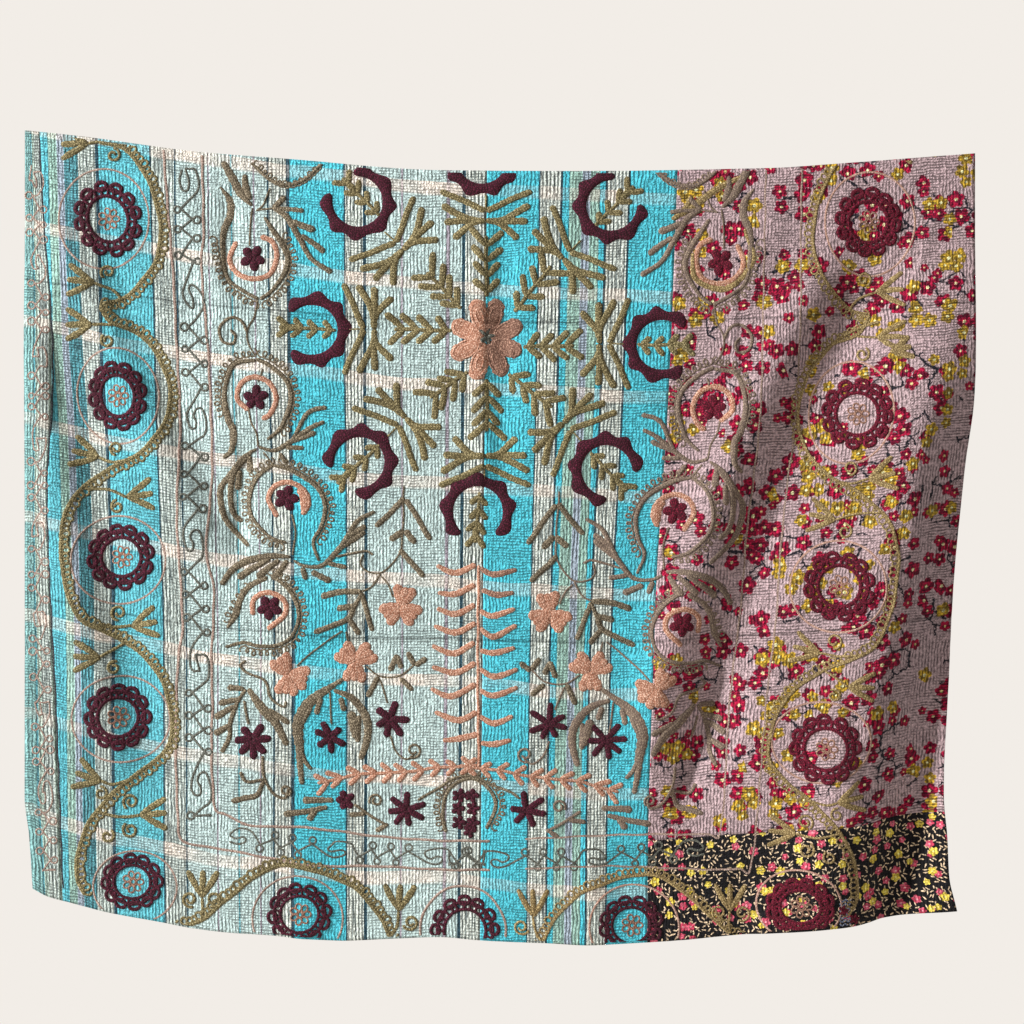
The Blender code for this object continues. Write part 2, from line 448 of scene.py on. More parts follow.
@dataclass(frozen=True)
class Quilting:
    """Rows of running stitch that pucker the layers into fine uneven ridges.

    In some patches the rows run down the cloth and in others across it; between
    them both show as a fine grid.
    """

    down_pitch: float = 7.6 * MM
    cross_pitch: float = 6.4 * MM
    wander: float = 15.0 * MM  # how far the rows stray
    drift: float = 41.667 * MM  # length over which they stray
    patch: float = 110.0 * MM  # size of the patches
    gaps: float = 14.2857 * MM  # size of the places where the stitches sink in less
    puff: tuple = (5.26316 * MM, 8.33333 * MM)  # width and height of one
    depth: float = 0.4  # of the valleys, as a share of the puffs' height

    def relief(self, tree: Shades, across: Socket, down: Socket) -> Socket:
        """Draws the relief of the rows and the crinkle between them.

        Args:
            tree: The material.
            across: Socket of metres across the flat cloth.
            down: Socket of metres down the flat cloth.

        Returns:
            A socket from 0 in the stitched valleys to 1 on the puffs.
        """
        place = tree.add("CombineXYZ", across, down)
        drift = tree.add("TexNoise", place, 1 / self.drift, 3.0, out=1)
        drift = tree.add("SeparateColor", drift).node
        patches = tree.add("TexNoise", place, 1 / self.patch, 2.0)
        broken = tree.add("TexNoise", place, 1 / self.gaps, 2.0)
        broken = tree.add("MapRange", broken, 0.32, 0.56, 0.3)
        valleys = []
        for way, along, pitch, least, most in (
            (0, across, self.down_pitch, 1.0, 0.35), (1, down, self.cross_pitch, 0.3, 1.0)
        ):
            moved = tree.add("Math MULTIPLY_ADD", drift.outputs[way], self.wander, along)
            turn = tree.add("Math MULTIPLY", moved, 2 * pi / pitch)
            wave = tree.add("Math COSINE", turn)
            valley = tree.add("MapRange", wave, 0.35, -0.85)
            share = tree.add("MapRange", patches, 0.43, 0.57, least, most)
            valleys.append(tree.add("Math MULTIPLY", valley, share))
        deep = tree.add("Math MAXIMUM", valleys[0], valleys[1])
        deep = tree.add("Math MULTIPLY", deep, broken)
        tall = tree.add("Mapping", Vector=place, Scale=(1 / self.puff[0], 1 / self.puff[1], 1.0))
        puffs = tree.add("TexNoise", tall, 1.0, 3.0)
        total = tree.add("Math MULTIPLY_ADD", deep, -self.depth, puffs)
        return tree.add("MapRange", total, 0.12, 0.62)


QUILTING = Quilting()


STORAGE_CREASES = (0.342, 1.061)  # metres down of the storage creases, darkened with painted shade
CREASE_SHADE_REACH = 4.2 * MM
FADED_PATCH = 312.5 * MM


def fade_and_shade(
    tree: Shades, colour: Socket, relief: Socket, place: Socket, low: float, high: float,
    crease_shade: float = 0.45,
) -> Socket:
    """Paints shade into the stitched valleys and the storage creases and highlight onto the puffs,
    and fades the cloth unevenly.

    Args:
        tree: The material.
        colour: The cloth's colour socket.
        relief: The quilting's relief socket.
        place: The socket of the place on the flat cloth.
        low: Brightness of the painted shade in the valleys.
        high: Brightness of the painted highlight on the puffs.
        crease_shade: Brightness of the painted shade in the storage creases.

    Returns:
        The colour socket.
    """
    wear = tree.add("TexNoise", place, 1 / FADED_PATCH, 5.0)
    wear = tree.add("MapRange", wear, 0.3, 0.7, 0.9, 1.08)
    down = tree.add("SeparateXYZ", place, out=1)
    # Painted shade along the storage creases
    for crease in STORAGE_CREASES:
        gap = tree.add("Math SUBTRACT", down, crease)
        gap = tree.add("Math ABSOLUTE", gap)
        painted_crease_shade = tree.add("MapRange", gap, 0.0, CREASE_SHADE_REACH, crease_shade)
        wear = tree.add("Math MULTIPLY", wear, painted_crease_shade)
    # Painted shade in the stitched valleys and painted highlight on the puffs
    light = tree.add("MapRange", relief, 0.0, 1.0, low, high)
    light = tree.add("Math MULTIPLY", light, wear)
    return tree.add("VectorMath SCALE", colour, light)


class Warp(Enum):
    """The warp colours of the striped cloth: colour code, peach band share, pinstripe share."""

    TURQUOISE = ("55C8DA", 0.3, 0.1)
    SOFT_TURQUOISE = ("66C2D0", 0.34, 0.25)
    GREY_TURQUOISE = ("8FC0BE", 0.4, 0.55)
    GREY_MINT = ("C2DACB", 0.5, 0.7)
    MINT = ("CFE6E3", 0.75, 0.5)
    PINSTRIPE = ("E6EEE4", 0.65, 1.0)
    GREY_PIN = ("CEDAD2", 0.7, 0.9)
    GREEN = ("A9D0C2", 0.5, 0.6)
    LILAC = ("AEBCCB", 0.5, 0.6)
    TEAL_DARK = ("62A9B4", 0.35, 0.9)
    NAVY = ("34525F", 0.25, 0.0)
    PURPLE = ("A69DA8", 0.5, 0.3)


@dataclass(frozen=True)
class StripedCotton:
    """Thin woven sari cotton in warp stripes, crossed by pale weft bands.

    Vegetable and old synthetic dyes give flat, faded colours; fine dark warp
    threads break them up.
    """

    name: str
    left: float  # metres across at which the stripes start
    right: float
    stripes: tuple[tuple[float, Warp], ...]  # share of the width at which each starts
    band_start: float = 0.0192  # share of the drop at which one starts, at the middle
    band_pitch: float = 0.1285  # of the drop
    band_lean: float = 0.03  # of the drop, for each metre across
    band_share: float = 0.14
    band_blur: float = 0.03  # of the bands' pitch
    band_sway: float = 0.007  # of the drop
    band_drift: float = 200.0 * MM  # length over which they sway
    band_faded: float = 142.857 * MM  # size of the faded patches
    band: str = "F6E2D2"
    pin_pitch: float = 7.6 * MM
    pin_sway: float = 5.5 * MM
    pin_drift: float = 29.4118 * MM  # length over which they sway
    pin_breaks: tuple = (9.0909 * MM, 33.3333 * MM)  # width and length of one
    thread: tuple = (3.0303 * MM, 71.4286 * MM)  # real warp is 0.3 mm wide; coarser to show
    pin_strength: float = 0.85
    pin: str = "34474C"
    shade: tuple = (0.48, 1.47)  # painted shade in the stitched valleys and painted highlight on the puffs, as brightness
    surface: tuple = (0.92, 2.8 * MM, 0.08)  # roughness, depth of the relief, sheen of the nap

    def material(self) -> bpy.types.Material:
        """Builds the material.

        Returns:
            The striped cloth.
        """
        tree = Shades(bpy.data.materials.new(self.name))
        place = tree.add("UVMap", uv_map="cloth")
        parts = tree.add("SeparateXYZ", place).node
        across, down = parts.outputs[0], parts.outputs[1]
        share = tree.add("MapRange", across, self.left, self.right)
        stops = [
            (start, (*linear(kind.value[0])[:3], kind.value[1])) for start, kind in self.stripes
        ]
        base = tree.add("ValToRGB", share, stops=stops).node
        pin_stops = [(start, (kind.value[2],) * 3 + (1.0,)) for start, kind in self.stripes]
        pins = tree.add("ValToRGB", share, stops=pin_stops).node

        bend = tree.add("TexNoise", place, 1 / self.pin_drift, 3.0)
        bend = tree.add("Math MULTIPLY_ADD", bend, self.pin_sway, across)
        turn = tree.add("Math MULTIPLY", bend, 1 / self.pin_pitch)
        saw = tree.add("Math FRACT", turn)
        dark = tree.add("MapRange", saw, 0.5, 0.7)
        breaks, threads = (
            tree.add("Mapping", Vector=place, Scale=(1 / wide, 1 / long, 1.0))
            for wide, long in (self.pin_breaks, self.thread)
        )
        breaks = tree.add("TexNoise", breaks, 1.0, 2.0)
        breaks = tree.add("MapRange", breaks, 0.35, 0.55, 0.5)
        dark = tree.add("Math MULTIPLY", dark, breaks)
        threads = tree.add("TexNoise", threads, 1.0, 1.0)
        threads = tree.add("MapRange", threads, 0.5, 0.68)
        lines = tree.add("Math MAXIMUM", dark, threads)
        lines = tree.add("Math MULTIPLY", lines, pins.outputs[0])
        lines = tree.add("Math MULTIPLY", lines, self.pin_strength)
        cloth = tree.add("Mix", lines, base.outputs[0], linear(self.pin), data_type="RGBA")

        start = tree.add("TexNoise", place, 1 / self.band_drift, 2.0)
        start = tree.add("MapRange", start, 0.0, 1.0, -self.band_sway, self.band_sway)
        start = tree.add("Math MULTIPLY_ADD", across, self.band_lean, start)
        start = tree.add("Math ADD", start, self.band_start)
        step = tree.add("Math MULTIPLY", down, 1 / DROP)
        step = tree.add("Math SUBTRACT", step, start)
        step = tree.add("Math MULTIPLY", step, 1 / self.band_pitch)
        step = tree.add("Math FRACT", step)
        band = tree.add("MapRange", step, self.band_share, self.band_share - self.band_blur)
        band = tree.add("Math MULTIPLY", band, base.outputs[1])
        faded = tree.add("TexNoise", place, 1 / self.band_faded, 2.0)
        faded = tree.add("MapRange", faded, 0.35, 0.62, 0.35)
        band = tree.add("Math MULTIPLY", band, faded)
        cloth = tree.add("Mix", band, cloth, linear(self.band), data_type="RGBA")

        relief = QUILTING.relief(tree, across, down)
        cloth = fade_and_shade(tree, cloth, relief, place, *self.shade)
        return fabric(tree, cloth, relief, *self.surface)


@dataclass(frozen=True)
class Bloom:
    """One layer of small printed flowers, scattered one to a cell."""

    cell: float
    radius: float
    petals: int
    outer: str
    shade: str  # the colour of some of the flowers
    centre: str
    shown: float  # share of the cells that hold a flower
    cluster: float  # size of the clusters, in metres
    shift: float = 0.0  # moves the layer off the others
    middle: float = 0.34  # the centre's radius as a share of the flower's
    # A line along which they crowd: its normal across and down, distance and half width
    crowd: tuple[float, float, float, float] | None = None
    dent: float = 0.7  # its radius between two petals, as a share
    reach: float = 0.32  # how much further the petals reach
    blotch: float = 10.5263 * MM  # size of the blotches in the other colour
    sizes: tuple = (0.72, 1.12)  # the smallest and largest, as shares of the radius

    def paint(self, tree: Shades, colour: Value, place: Socket) -> Socket:
        """Prints the layer over a colour.

        Args:
            tree: The material.
            colour: The colour underneath.
            place: The socket of the place on the flat cloth.

        Returns:
            The colour socket with the flowers on it.
        """
        moved = tree.add("VectorMath ADD", place, (self.shift, self.shift * 1.7, 0.0))
        cells = tree.add(
            "TexVoronoi", Vector=moved, Scale=1 / self.cell, Randomness=0.85,
            voronoi_dimensions="2D"
        ).node
        spot, chance = cells.outputs["Position"], cells.outputs["Color"]
        gap = tree.add("VectorMath SUBTRACT", moved, spot)
        away = tree.add("VectorMath LENGTH", gap)
        sides = tree.add("SeparateXYZ", gap).node
        dice = tree.add("SeparateColor", chance).node
        angle = tree.add("Math ARCTAN2", sides.outputs[1], sides.outputs[0])
        turn = tree.add("Math MULTIPLY", dice.outputs[2], 6.0)
        angle = tree.add("Math MULTIPLY_ADD", angle, self.petals / 2, turn)
        wave = tree.add("Math COSINE", angle)
        wave = tree.add("Math ABSOLUTE", wave)
        reach, dent = self.radius * self.reach, self.radius * self.dent
        edge = tree.add("Math MULTIPLY_ADD", wave, reach, dent)
        size = tree.add("MapRange", dice.outputs[1], 0.0, 1.0, *self.sizes)
        edge = tree.add("Math MULTIPLY", edge, size)
        ratio = tree.add("Math DIVIDE", away, edge)
        inside = tree.add("MapRange", ratio, 1.06, 0.94)

        where = tree.add("TexNoise", spot, 1 / self.cluster, 1.0)
        odds = tree.add("Math MULTIPLY_ADD", dice.outputs[0], 0.22, where)
        if self.crowd:
            *normal, distance, half_width = self.crowd
            off = tree.add("VectorMath DOT_PRODUCT", spot, (*normal, 0.0))
            distance += self.shift * (normal[0] + 1.7 * normal[1])
            off = tree.add("Math SUBTRACT", off, distance)
            off = tree.add("Math ABSOLUTE", off)
            extra = tree.add("MapRange", off, 0.0, half_width, 0.11, -0.04)
            odds = tree.add("Math ADD", odds, extra)
        present = tree.add("Math GREATER_THAN", odds, 0.76 - 0.3 * self.shown)
        inside = tree.add("Math MULTIPLY", inside, present)
        tone = tree.add("TexNoise", moved, 1 / self.blotch, 1.0)
        tone = tree.add("MapRange", tone, 0.42, 0.55)
        petal = tree.add("Mix", tone, linear(self.outer), linear(self.shade), data_type="RGBA")
        heart = tree.add("MapRange", ratio, self.middle + 0.06, self.middle - 0.04)
        petal = tree.add("Mix", heart, petal, linear(self.centre), data_type="RGBA")
        return tree.add("Mix", inside, colour, petal, data_type="RGBA")


@dataclass(frozen=True)
class Twigs:
    """Thin printed twigs that wander between the flowers."""

    cell: float = 42 * MM
    width: float = 0.08
    bend: float = 17 * MM
    bend_size: float = 9.0909 * MM  # length over which they bend
    patch: float = 90.9091 * MM  # size of the places with and without twigs
    colour: str = "25252F"
    shown: float = 0.47

    def paint(self, tree: Shades, colour: Value, place: Socket) -> Socket:
        """Prints the twigs over a colour.

        Args:
            tree: The material.
            colour: The colour underneath.
            place: The socket of the place on the flat cloth.

        Returns:
            The colour socket with the twigs on it.
        """
        bend = tree.add("TexNoise", place, 1 / self.bend_size, 2.0, out=1)
        bend = tree.add("VectorMath SCALE", bend, self.bend)
        moved = tree.add("VectorMath ADD", place, bend)
        edge = tree.add(
            "TexVoronoi", Vector=moved, Scale=1 / self.cell, voronoi_dimensions="2D",
            feature="DISTANCE_TO_EDGE"
        )
        line = tree.add("MapRange", edge, self.width, self.width * 0.4)
        where = tree.add("TexNoise", place, 1 / self.patch, 1.0)
        shown = tree.add("Math GREATER_THAN", where, 1 - self.shown)
        line = tree.add("Math MULTIPLY", line, shown)
        return tree.add("Mix", line, colour, linear(self.colour), data_type="RGBA")


@dataclass(frozen=True)
class Seeds:
    """Small printed seed-shaped leaves, each turned its own way."""

    cell: float = 10.5 * MM
    length: float = 5.2 * MM
    width: float = 1.5 * MM
    colour: str = "F0D4B0"
    shown: float = 0.8

    def paint(self, tree: Shades, colour: Value, place: Socket) -> Socket:
        """Prints the leaves over a colour.

        Args:
            tree: The material.
            colour: The colour underneath.
            place: The socket of the place on the flat cloth.

        Returns:
            The colour socket with the leaves on it.
        """
        cells = tree.add(
            "TexVoronoi", Vector=place, Scale=1 / self.cell, Randomness=0.9, voronoi_dimensions="2D"
        ).node
        gap = tree.add("VectorMath SUBTRACT", place, cells.outputs["Position"])
        dice = tree.add("SeparateColor", cells.outputs["Color"]).node
        turn = tree.add("Math MULTIPLY", dice.outputs[0], 2 * pi)
        gap = tree.add("VectorRotate", Vector=gap, Angle=turn, rotation_type="Z_AXIS")
        size = (1 / self.length, 1 / self.width, 0.0)
        gap = tree.add("VectorMath MULTIPLY", gap, size)
        away = tree.add("VectorMath LENGTH", gap)
        inside = tree.add("MapRange", away, 1.1, 0.8)
        shown = tree.add("Math LESS_THAN", dice.outputs[1], self.shown)
        inside = tree.add("Math MULTIPLY", inside, shown)
        return tree.add("Mix", inside, colour, linear(self.colour), data_type="RGBA")


@dataclass(frozen=True)
class PrintedCotton:
    """Thin printed cotton: a plain ground with small scattered flowers.

    Block printing gives flat colours whose edges bleed a little along the threads.
    """

    name: str
    ground: str
    layers: tuple
    shade: tuple = (0.36, 1.56)  # painted shade in the stitched valleys and painted highlight on the puffs, as brightness
    bleed: float = 3.0 * MM
    bleed_size: float = 3.33333 * MM  # length over which an edge wavers
    surface: tuple = (0.9, 2.9 * MM, 0.06)  # roughness, depth of the relief, sheen of the nap

    def material(self) -> bpy.types.Material:
        """Builds the material.

        Returns:
            The printed cloth.
        """
        tree = Shades(bpy.data.materials.new(self.name))
        place = tree.add("UVMap", uv_map="cloth")
        parts = tree.add("SeparateXYZ", place).node
        relief = QUILTING.relief(tree, parts.outputs[0], parts.outputs[1])
        wobble = tree.add("TexNoise", place, 1 / self.bleed_size, 1.0, out=1)
        wobble = tree.add("VectorMath SCALE", wobble, self.bleed)
        drawn = tree.add("VectorMath ADD", place, wobble)
        cloth = linear(self.ground)
        for layer in self.layers:
            cloth = layer.paint(tree, cloth, drawn)
        cloth = fade_and_shade(tree, cloth, relief, place, *self.shade)
        return fabric(tree, cloth, relief, *self.surface)


@dataclass(frozen=True)
class BackingCotton:
    """Plain unbleached cotton on the back, crossed by the quilting rows.

    Undyed fibre has yellowed unevenly and shows broad pale and brown stains.
    """

    name: str = "unbleached cotton backing, quilted"
    colour: str = "C9C0AE"
    stained: str = "AD9F86"
    stain: float = 166.667 * MM
    shade: tuple = (0.78, 1.08, 0.85)  # painted shade in the valleys, painted highlight on the puffs, painted shade in the storage creases
    surface: tuple = (0.93, 1.2 * MM, 0.05)  # roughness, depth of the relief, sheen of the nap

    def material(self) -> bpy.types.Material:
        """Builds the material.

        Returns:
            The backing cloth.
        """
        tree = Shades(bpy.data.materials.new(self.name))
        place = tree.add("UVMap", uv_map="cloth")
        parts = tree.add("SeparateXYZ", place).node
        relief = QUILTING.relief(tree, parts.outputs[0], parts.outputs[1])
        tint = tree.add("TexNoise", place, 1 / self.stain, 4.0)
        cloth = tree.add("Mix", tint, linear(self.colour), linear(self.stained), data_type="RGBA")
        cloth = fade_and_shade(tree, cloth, relief, place, *self.shade)
        return fabric(tree, cloth, relief, *self.surface)


# The cloth panels


@dataclass
class QuiltPanel:
    """One cloth panel: a fine grid on the hung shape, with the cloth's thickness."""

    name: str
    left: tuple
    right: tuple
    first: float  # share of the drop at its upper edge
    last: float
    finish: StripedCotton | PrintedCotton
    slot: str
    cell: float = 6.2 * MM
    sway: tuple = NO_SWAY
    reference: float = 0.69  # share of the drop at which the stripes are measured

    def side(self, table: tuple, down: np.ndarray, gap: float) -> np.ndarray:
        """Reads a side edge in metres, moved in by half the seam gap.

        Args:
            table: The edge table.
            down: Shares of the drop.
            gap: The gap, positive to move it right.

        Returns:
            Metres across.
        """
        outer = table is LEFT_EDGE or table is RIGHT_EDGE
        return SHAPE.edge(table, down) * MM + (0.0 if outer else gap / 2)

    def layer(self, name: str, first: float, last: float, behind: float) -> bpy.types.Object:
        """Makes one layer of the panel's cloth and dresses it.

        Args:
            name: The layer's name.
            first: Share of the drop at its upper edge.
            last: Share at its lower edge.
            behind: Metres from the face of the hung cloth back to its own face.

        Returns:
            The layer.
        """
        rows = max(4, round((last - first) * DROP / self.cell))
        across_cells = max(4, round(self.width() / self.cell))
        bm = bmesh.new()
        bmesh.ops.create_grid(bm, x_segments=across_cells, y_segments=rows, size=0.5)
        flat = np.array([v.co[:2] for v in bm.verts]) + 0.5
        share, down = flat[:, 0], last + (first - last) * flat[:, 1]
        left, right = self.side(self.left, down, SEAM_GAP), self.side(self.right, down, -SEAM_GAP)
        x = left + (right - left) * share
        at = np.array([self.reference])
        low, high = self.side(self.left, at, 0)[0], self.side(self.right, at, 0)[0]
        moved = (1 - share) * SHAPE.edge(self.sway, down) * MM
        flat = np.stack([low + (high - low) * share + moved, down * DROP], -1)
        lay_flat_map(bm, "cloth", flat)
        SHAPE.hang(bm, x, down, -behind)
        piece = finished(bm, name, self.cotton, BACKING)
        solid = piece.modifiers.new("cloth thickness", "SOLIDIFY")
        solid.thickness = CLOTH_THICK
        solid.offset = -1
        solid.use_even_offset = True
        solid.material_offset = 0 if behind else 1
        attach(piece, "root")
        log.info("cloth %s: %d faces", name, len(piece.data.polygons))
        return piece

    def width(self) -> float:
        """Mean of its widths at the upper and the lower edge, in metres."""
        ends = np.array([self.first, self.last])
        return (self.side(self.right, ends, 0) - self.side(self.left, ends, 0)).mean()

    def flat_size(self) -> tuple[float, float]:
        """Measures the size that the cloth was cut to.

        Returns:
            Mean width and length along its folded face, in metres.
        """
        places = np.array([v.co[:] for v in self.piece.data.vertices])
        rows = np.flatnonzero(np.diff(places[:, 0]) < 0)[0] + 1  # vertices in each row
        places = places.reshape(-1, rows, 3)
        lengths = (
            np.linalg.norm(np.diff(places, axis=axis), axis=2).sum(axis=axis).mean()
            for axis in (1, 0)
        )
        return tuple(round(float(length), 4) for length in lengths)

    def build(self, node: str) -> None:
        """Makes the panel in place of its solid, and its turned edge if it reaches the top.

        Args:
            node: The solid that it replaces.
        """
        self.cotton = self.finish.material()
        self.piece = self.layer(self.name, self.first, self.last, 0.0)
        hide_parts(node)
        self.on_it = []
        if self.first == 0:
            turned = self.layer(self.name + "_turned", *TURNED, CLOTH_THICK + SEAM_GAP)
            self.on_it.append(turned)

    def declare(self, needlework: list[bpy.types.Object], hangs_from: str = "") -> None:
        """Args:
            needlework: Every piece of needlework.
            hangs_from: Name of the panel that it is sewn below, if any; not used.
        """
        for piece in needlework:
            spots = np.array([v.co[:] for v in piece.data.vertices])
            x, z = np.median(spots[:, 0]), np.median(spots[:, 2])
            down = np.array([-z / DROP])
            left, right = self.side(self.left, down, 0)[0], self.side(self.right, down, 0)[0]
            if left <= x < right and self.first <= down[0] < self.last:
                self.on_it.append(piece)
        self.flat_size()


BACKING = BackingCotton().material()

STRIP = StripedCotton(
    "faded sari cotton, narrow strip", -1.069, -0.9956,
    (
        (0.0, Warp.GREY_TURQUOISE), (0.32, Warp.TEAL_DARK), (0.38, Warp.GREY_MINT),
        (0.5, Warp.GREY_PIN), (0.8, Warp.GREY_MINT), (0.94, Warp.TEAL_DARK),
    ),
)
LEFT_HALF = StripedCotton(
    "faded sari cotton, left width", -0.9956, -0.0399,
    (
        (0.0, Warp.SOFT_TURQUOISE), (0.016, Warp.GREEN), (0.038, Warp.LILAC),
        (0.052, Warp.TEAL_DARK), (0.083, Warp.GREY_PIN), (0.125, Warp.NAVY),
        (0.131, Warp.SOFT_TURQUOISE), (0.243, Warp.NAVY), (0.249, Warp.GREY_PIN),
        (0.299, Warp.NAVY), (0.304, Warp.MINT), (0.375, Warp.PURPLE), (0.378, Warp.MINT),
        (0.425, Warp.TEAL_DARK), (0.428, Warp.MINT), (0.476, Warp.PURPLE), (0.479, Warp.MINT),
        (0.505, Warp.NAVY), (0.511, Warp.PINSTRIPE), (0.55, Warp.NAVY), (0.556, Warp.TURQUOISE),
        (0.677, Warp.NAVY), (0.681, Warp.PINSTRIPE), (0.722, Warp.NAVY), (0.729, Warp.MINT),
        (0.806, Warp.PURPLE), (0.81, Warp.MINT), (0.91, Warp.PURPLE), (0.915, Warp.MINT),
        (0.944, Warp.NAVY), (0.951, Warp.PINSTRIPE),
    ),
)
RIGHT_HALF = StripedCotton(
    "faded sari cotton, right width", -0.0399, 0.3415,
    (
        (0.0, Warp.TURQUOISE), (0.27, Warp.NAVY), (0.28, Warp.PINSTRIPE), (0.385, Warp.NAVY),
        (0.395, Warp.TURQUOISE), (0.43, Warp.GREEN), (0.5, Warp.LILAC), (0.54, Warp.GREEN),
        (0.59, Warp.TURQUOISE), (0.62, Warp.NAVY), (0.63, Warp.PINSTRIPE), (0.742, Warp.NAVY),
        (0.751, Warp.TURQUOISE),
    ),
)
MAUVE = PrintedCotton(
    "printed cotton, mauve ground",
    "C0A6A9",
    (
        Twigs(),
        Bloom(34 * MM, 14 * MM, 5, "861634", "B01C40", "EEE09A", 0.16, 0.08, 0.31, 0.24),
        Bloom(40 * MM, 20 * MM, 5, "BC1A44", "6A0E2C", "F8F4B8", 0.5, 0.09, 0.0, 0.2),
        Bloom(
            37 * MM, 18 * MM, 5, "D6AE38", "8E7430", "F8F6C0", 0.24, 0.1, 0.77, 0.22,
            (0.957, 0.292, 0.976, 0.14),
        ),
    ),
)
BLACK = PrintedCotton(
    "printed cotton, black ground",
    "1A181B",
    (
        Seeds(),
        Bloom(41 * MM, 10.5 * MM, 5, "E06A80", "C8445E", "F6B4BA", 0.95, 0.2, 0.43, 0.26),
        Bloom(52 * MM, 10 * MM, 5, "F2DC62", "DCC04A", "F8EFA0", 0.95, 0.2, 1.1, 0.26),
    ),
    (0.56, 1.6),
)

PANELS = (
    QuiltPanel("left_strip_cloth", LEFT_EDGE, STRIP_SEAM, 0, 1, STRIP, "striped_cotton_strip"),
    QuiltPanel(
        "left_half_cloth", STRIP_SEAM, CENTRE_SEAM, 0, 1, LEFT_HALF, "striped_cotton_left",
        sway=STRIPE_SWAY,
    ),
    QuiltPanel(
        "right_half_cloth", CENTRE_SEAM, MAUVE_SEAM, 0, 1, RIGHT_HALF, "striped_cotton_right"
    ),
    QuiltPanel("mauve_cloth", MAUVE_SEAM, RIGHT_EDGE, 0, BLACK_TOP, MAUVE, "mauve_print"),
    QuiltPanel("black_cloth", MAUVE_SEAM, RIGHT_EDGE, BLACK_TOP, 1, BLACK, "black_print"),
)
NODES = ("left_strip", "striped_left_half", "striped_right_half", "mauve_panel", "black_panel")


# Embroidery. Motifs are placed in the photograph's pixels: x to the right, y down


class Hand(Enum):
    """Where a motif is stitched: as drawn on the left, mirrored on the right, or both."""

    LEFT = "left"
    RIGHT = "right"
    BOTH = "both"


MIRROR = 487.0
FULL_DIP = 370.0  # distance from the mirror line at which the dip is full
# By height in the photograph: how far mirrored motifs lean, and how far they sit lower
LEAN = ((220, 0), (400, -5), (500, -12), (610, -23), (720, -33), (800, -39), (920, -42))
DIP = ((220, 3), (400, 17), (560, 28), (650, 28), (740, 20), (880, 18))


def mirrored(path: np.ndarray) -> np.ndarray:
    """Carries a path from the left to the right of the cloth.

    Args:
        path: Rows of (x, y).

    Returns:
        Rows of (x, y).
    """
    lean = np.interp(path[:, 1], *np.array(LEAN, float).T)
    dip = np.interp(path[:, 1], *np.array(DIP, float).T)
    x = 2 * MIRROR - path[:, 0] + lean
    return np.stack([x, path[:, 1] + dip * (MIRROR - path[:, 0]) / FULL_DIP], -1)


def trail(points: np.ndarray, closed: bool = False) -> tuple[np.ndarray, np.ndarray]:
    """Runs a smooth line through points.

    Args:
        points: Rows of (x, y).
        closed: Whether it returns to its start.

    Returns:
        Rows of (x, y) close together, and the distance along at each.
    """
    p = np.asarray(points, float)
    ends = (p[-1:], p[:2]) if closed else (2 * p[:1] - p[1:2], 2 * p[-1:] - p[-2:-1])
    p = np.vstack([ends[0], p, ends[1]])
    t = np.linspace(0, 1, 12, endpoint=False)[:, None]
    rows = [
        b + 0.5 * t * (c - a + t * (2 * a - 5 * b + 4 * c - d + t * (3 * (b - c) + d - a)))
        for a, b, c, d in zip(p, p[1:], p[2:], p[3:])
    ]
    rows = np.vstack(rows + [p[-2:-1]])
    steps = np.linalg.norm(np.diff(rows, axis=0), axis=1)
    return rows, np.concatenate([[0.0], np.cumsum(steps)])


def headings(path: np.ndarray) -> tuple[np.ndarray, np.ndarray]:
    """Finds the direction along a path and the one across it.

    Args:
        path: Rows of (x, y).

    Returns:
        Both directions at each row.
    """
    run = np.gradient(path, axis=0)
    run = run / np.maximum(np.linalg.norm(run, axis=1, keepdims=True), 1e-6)
    return run, np.stack([-run[:, 1], run[:, 0]], -1)


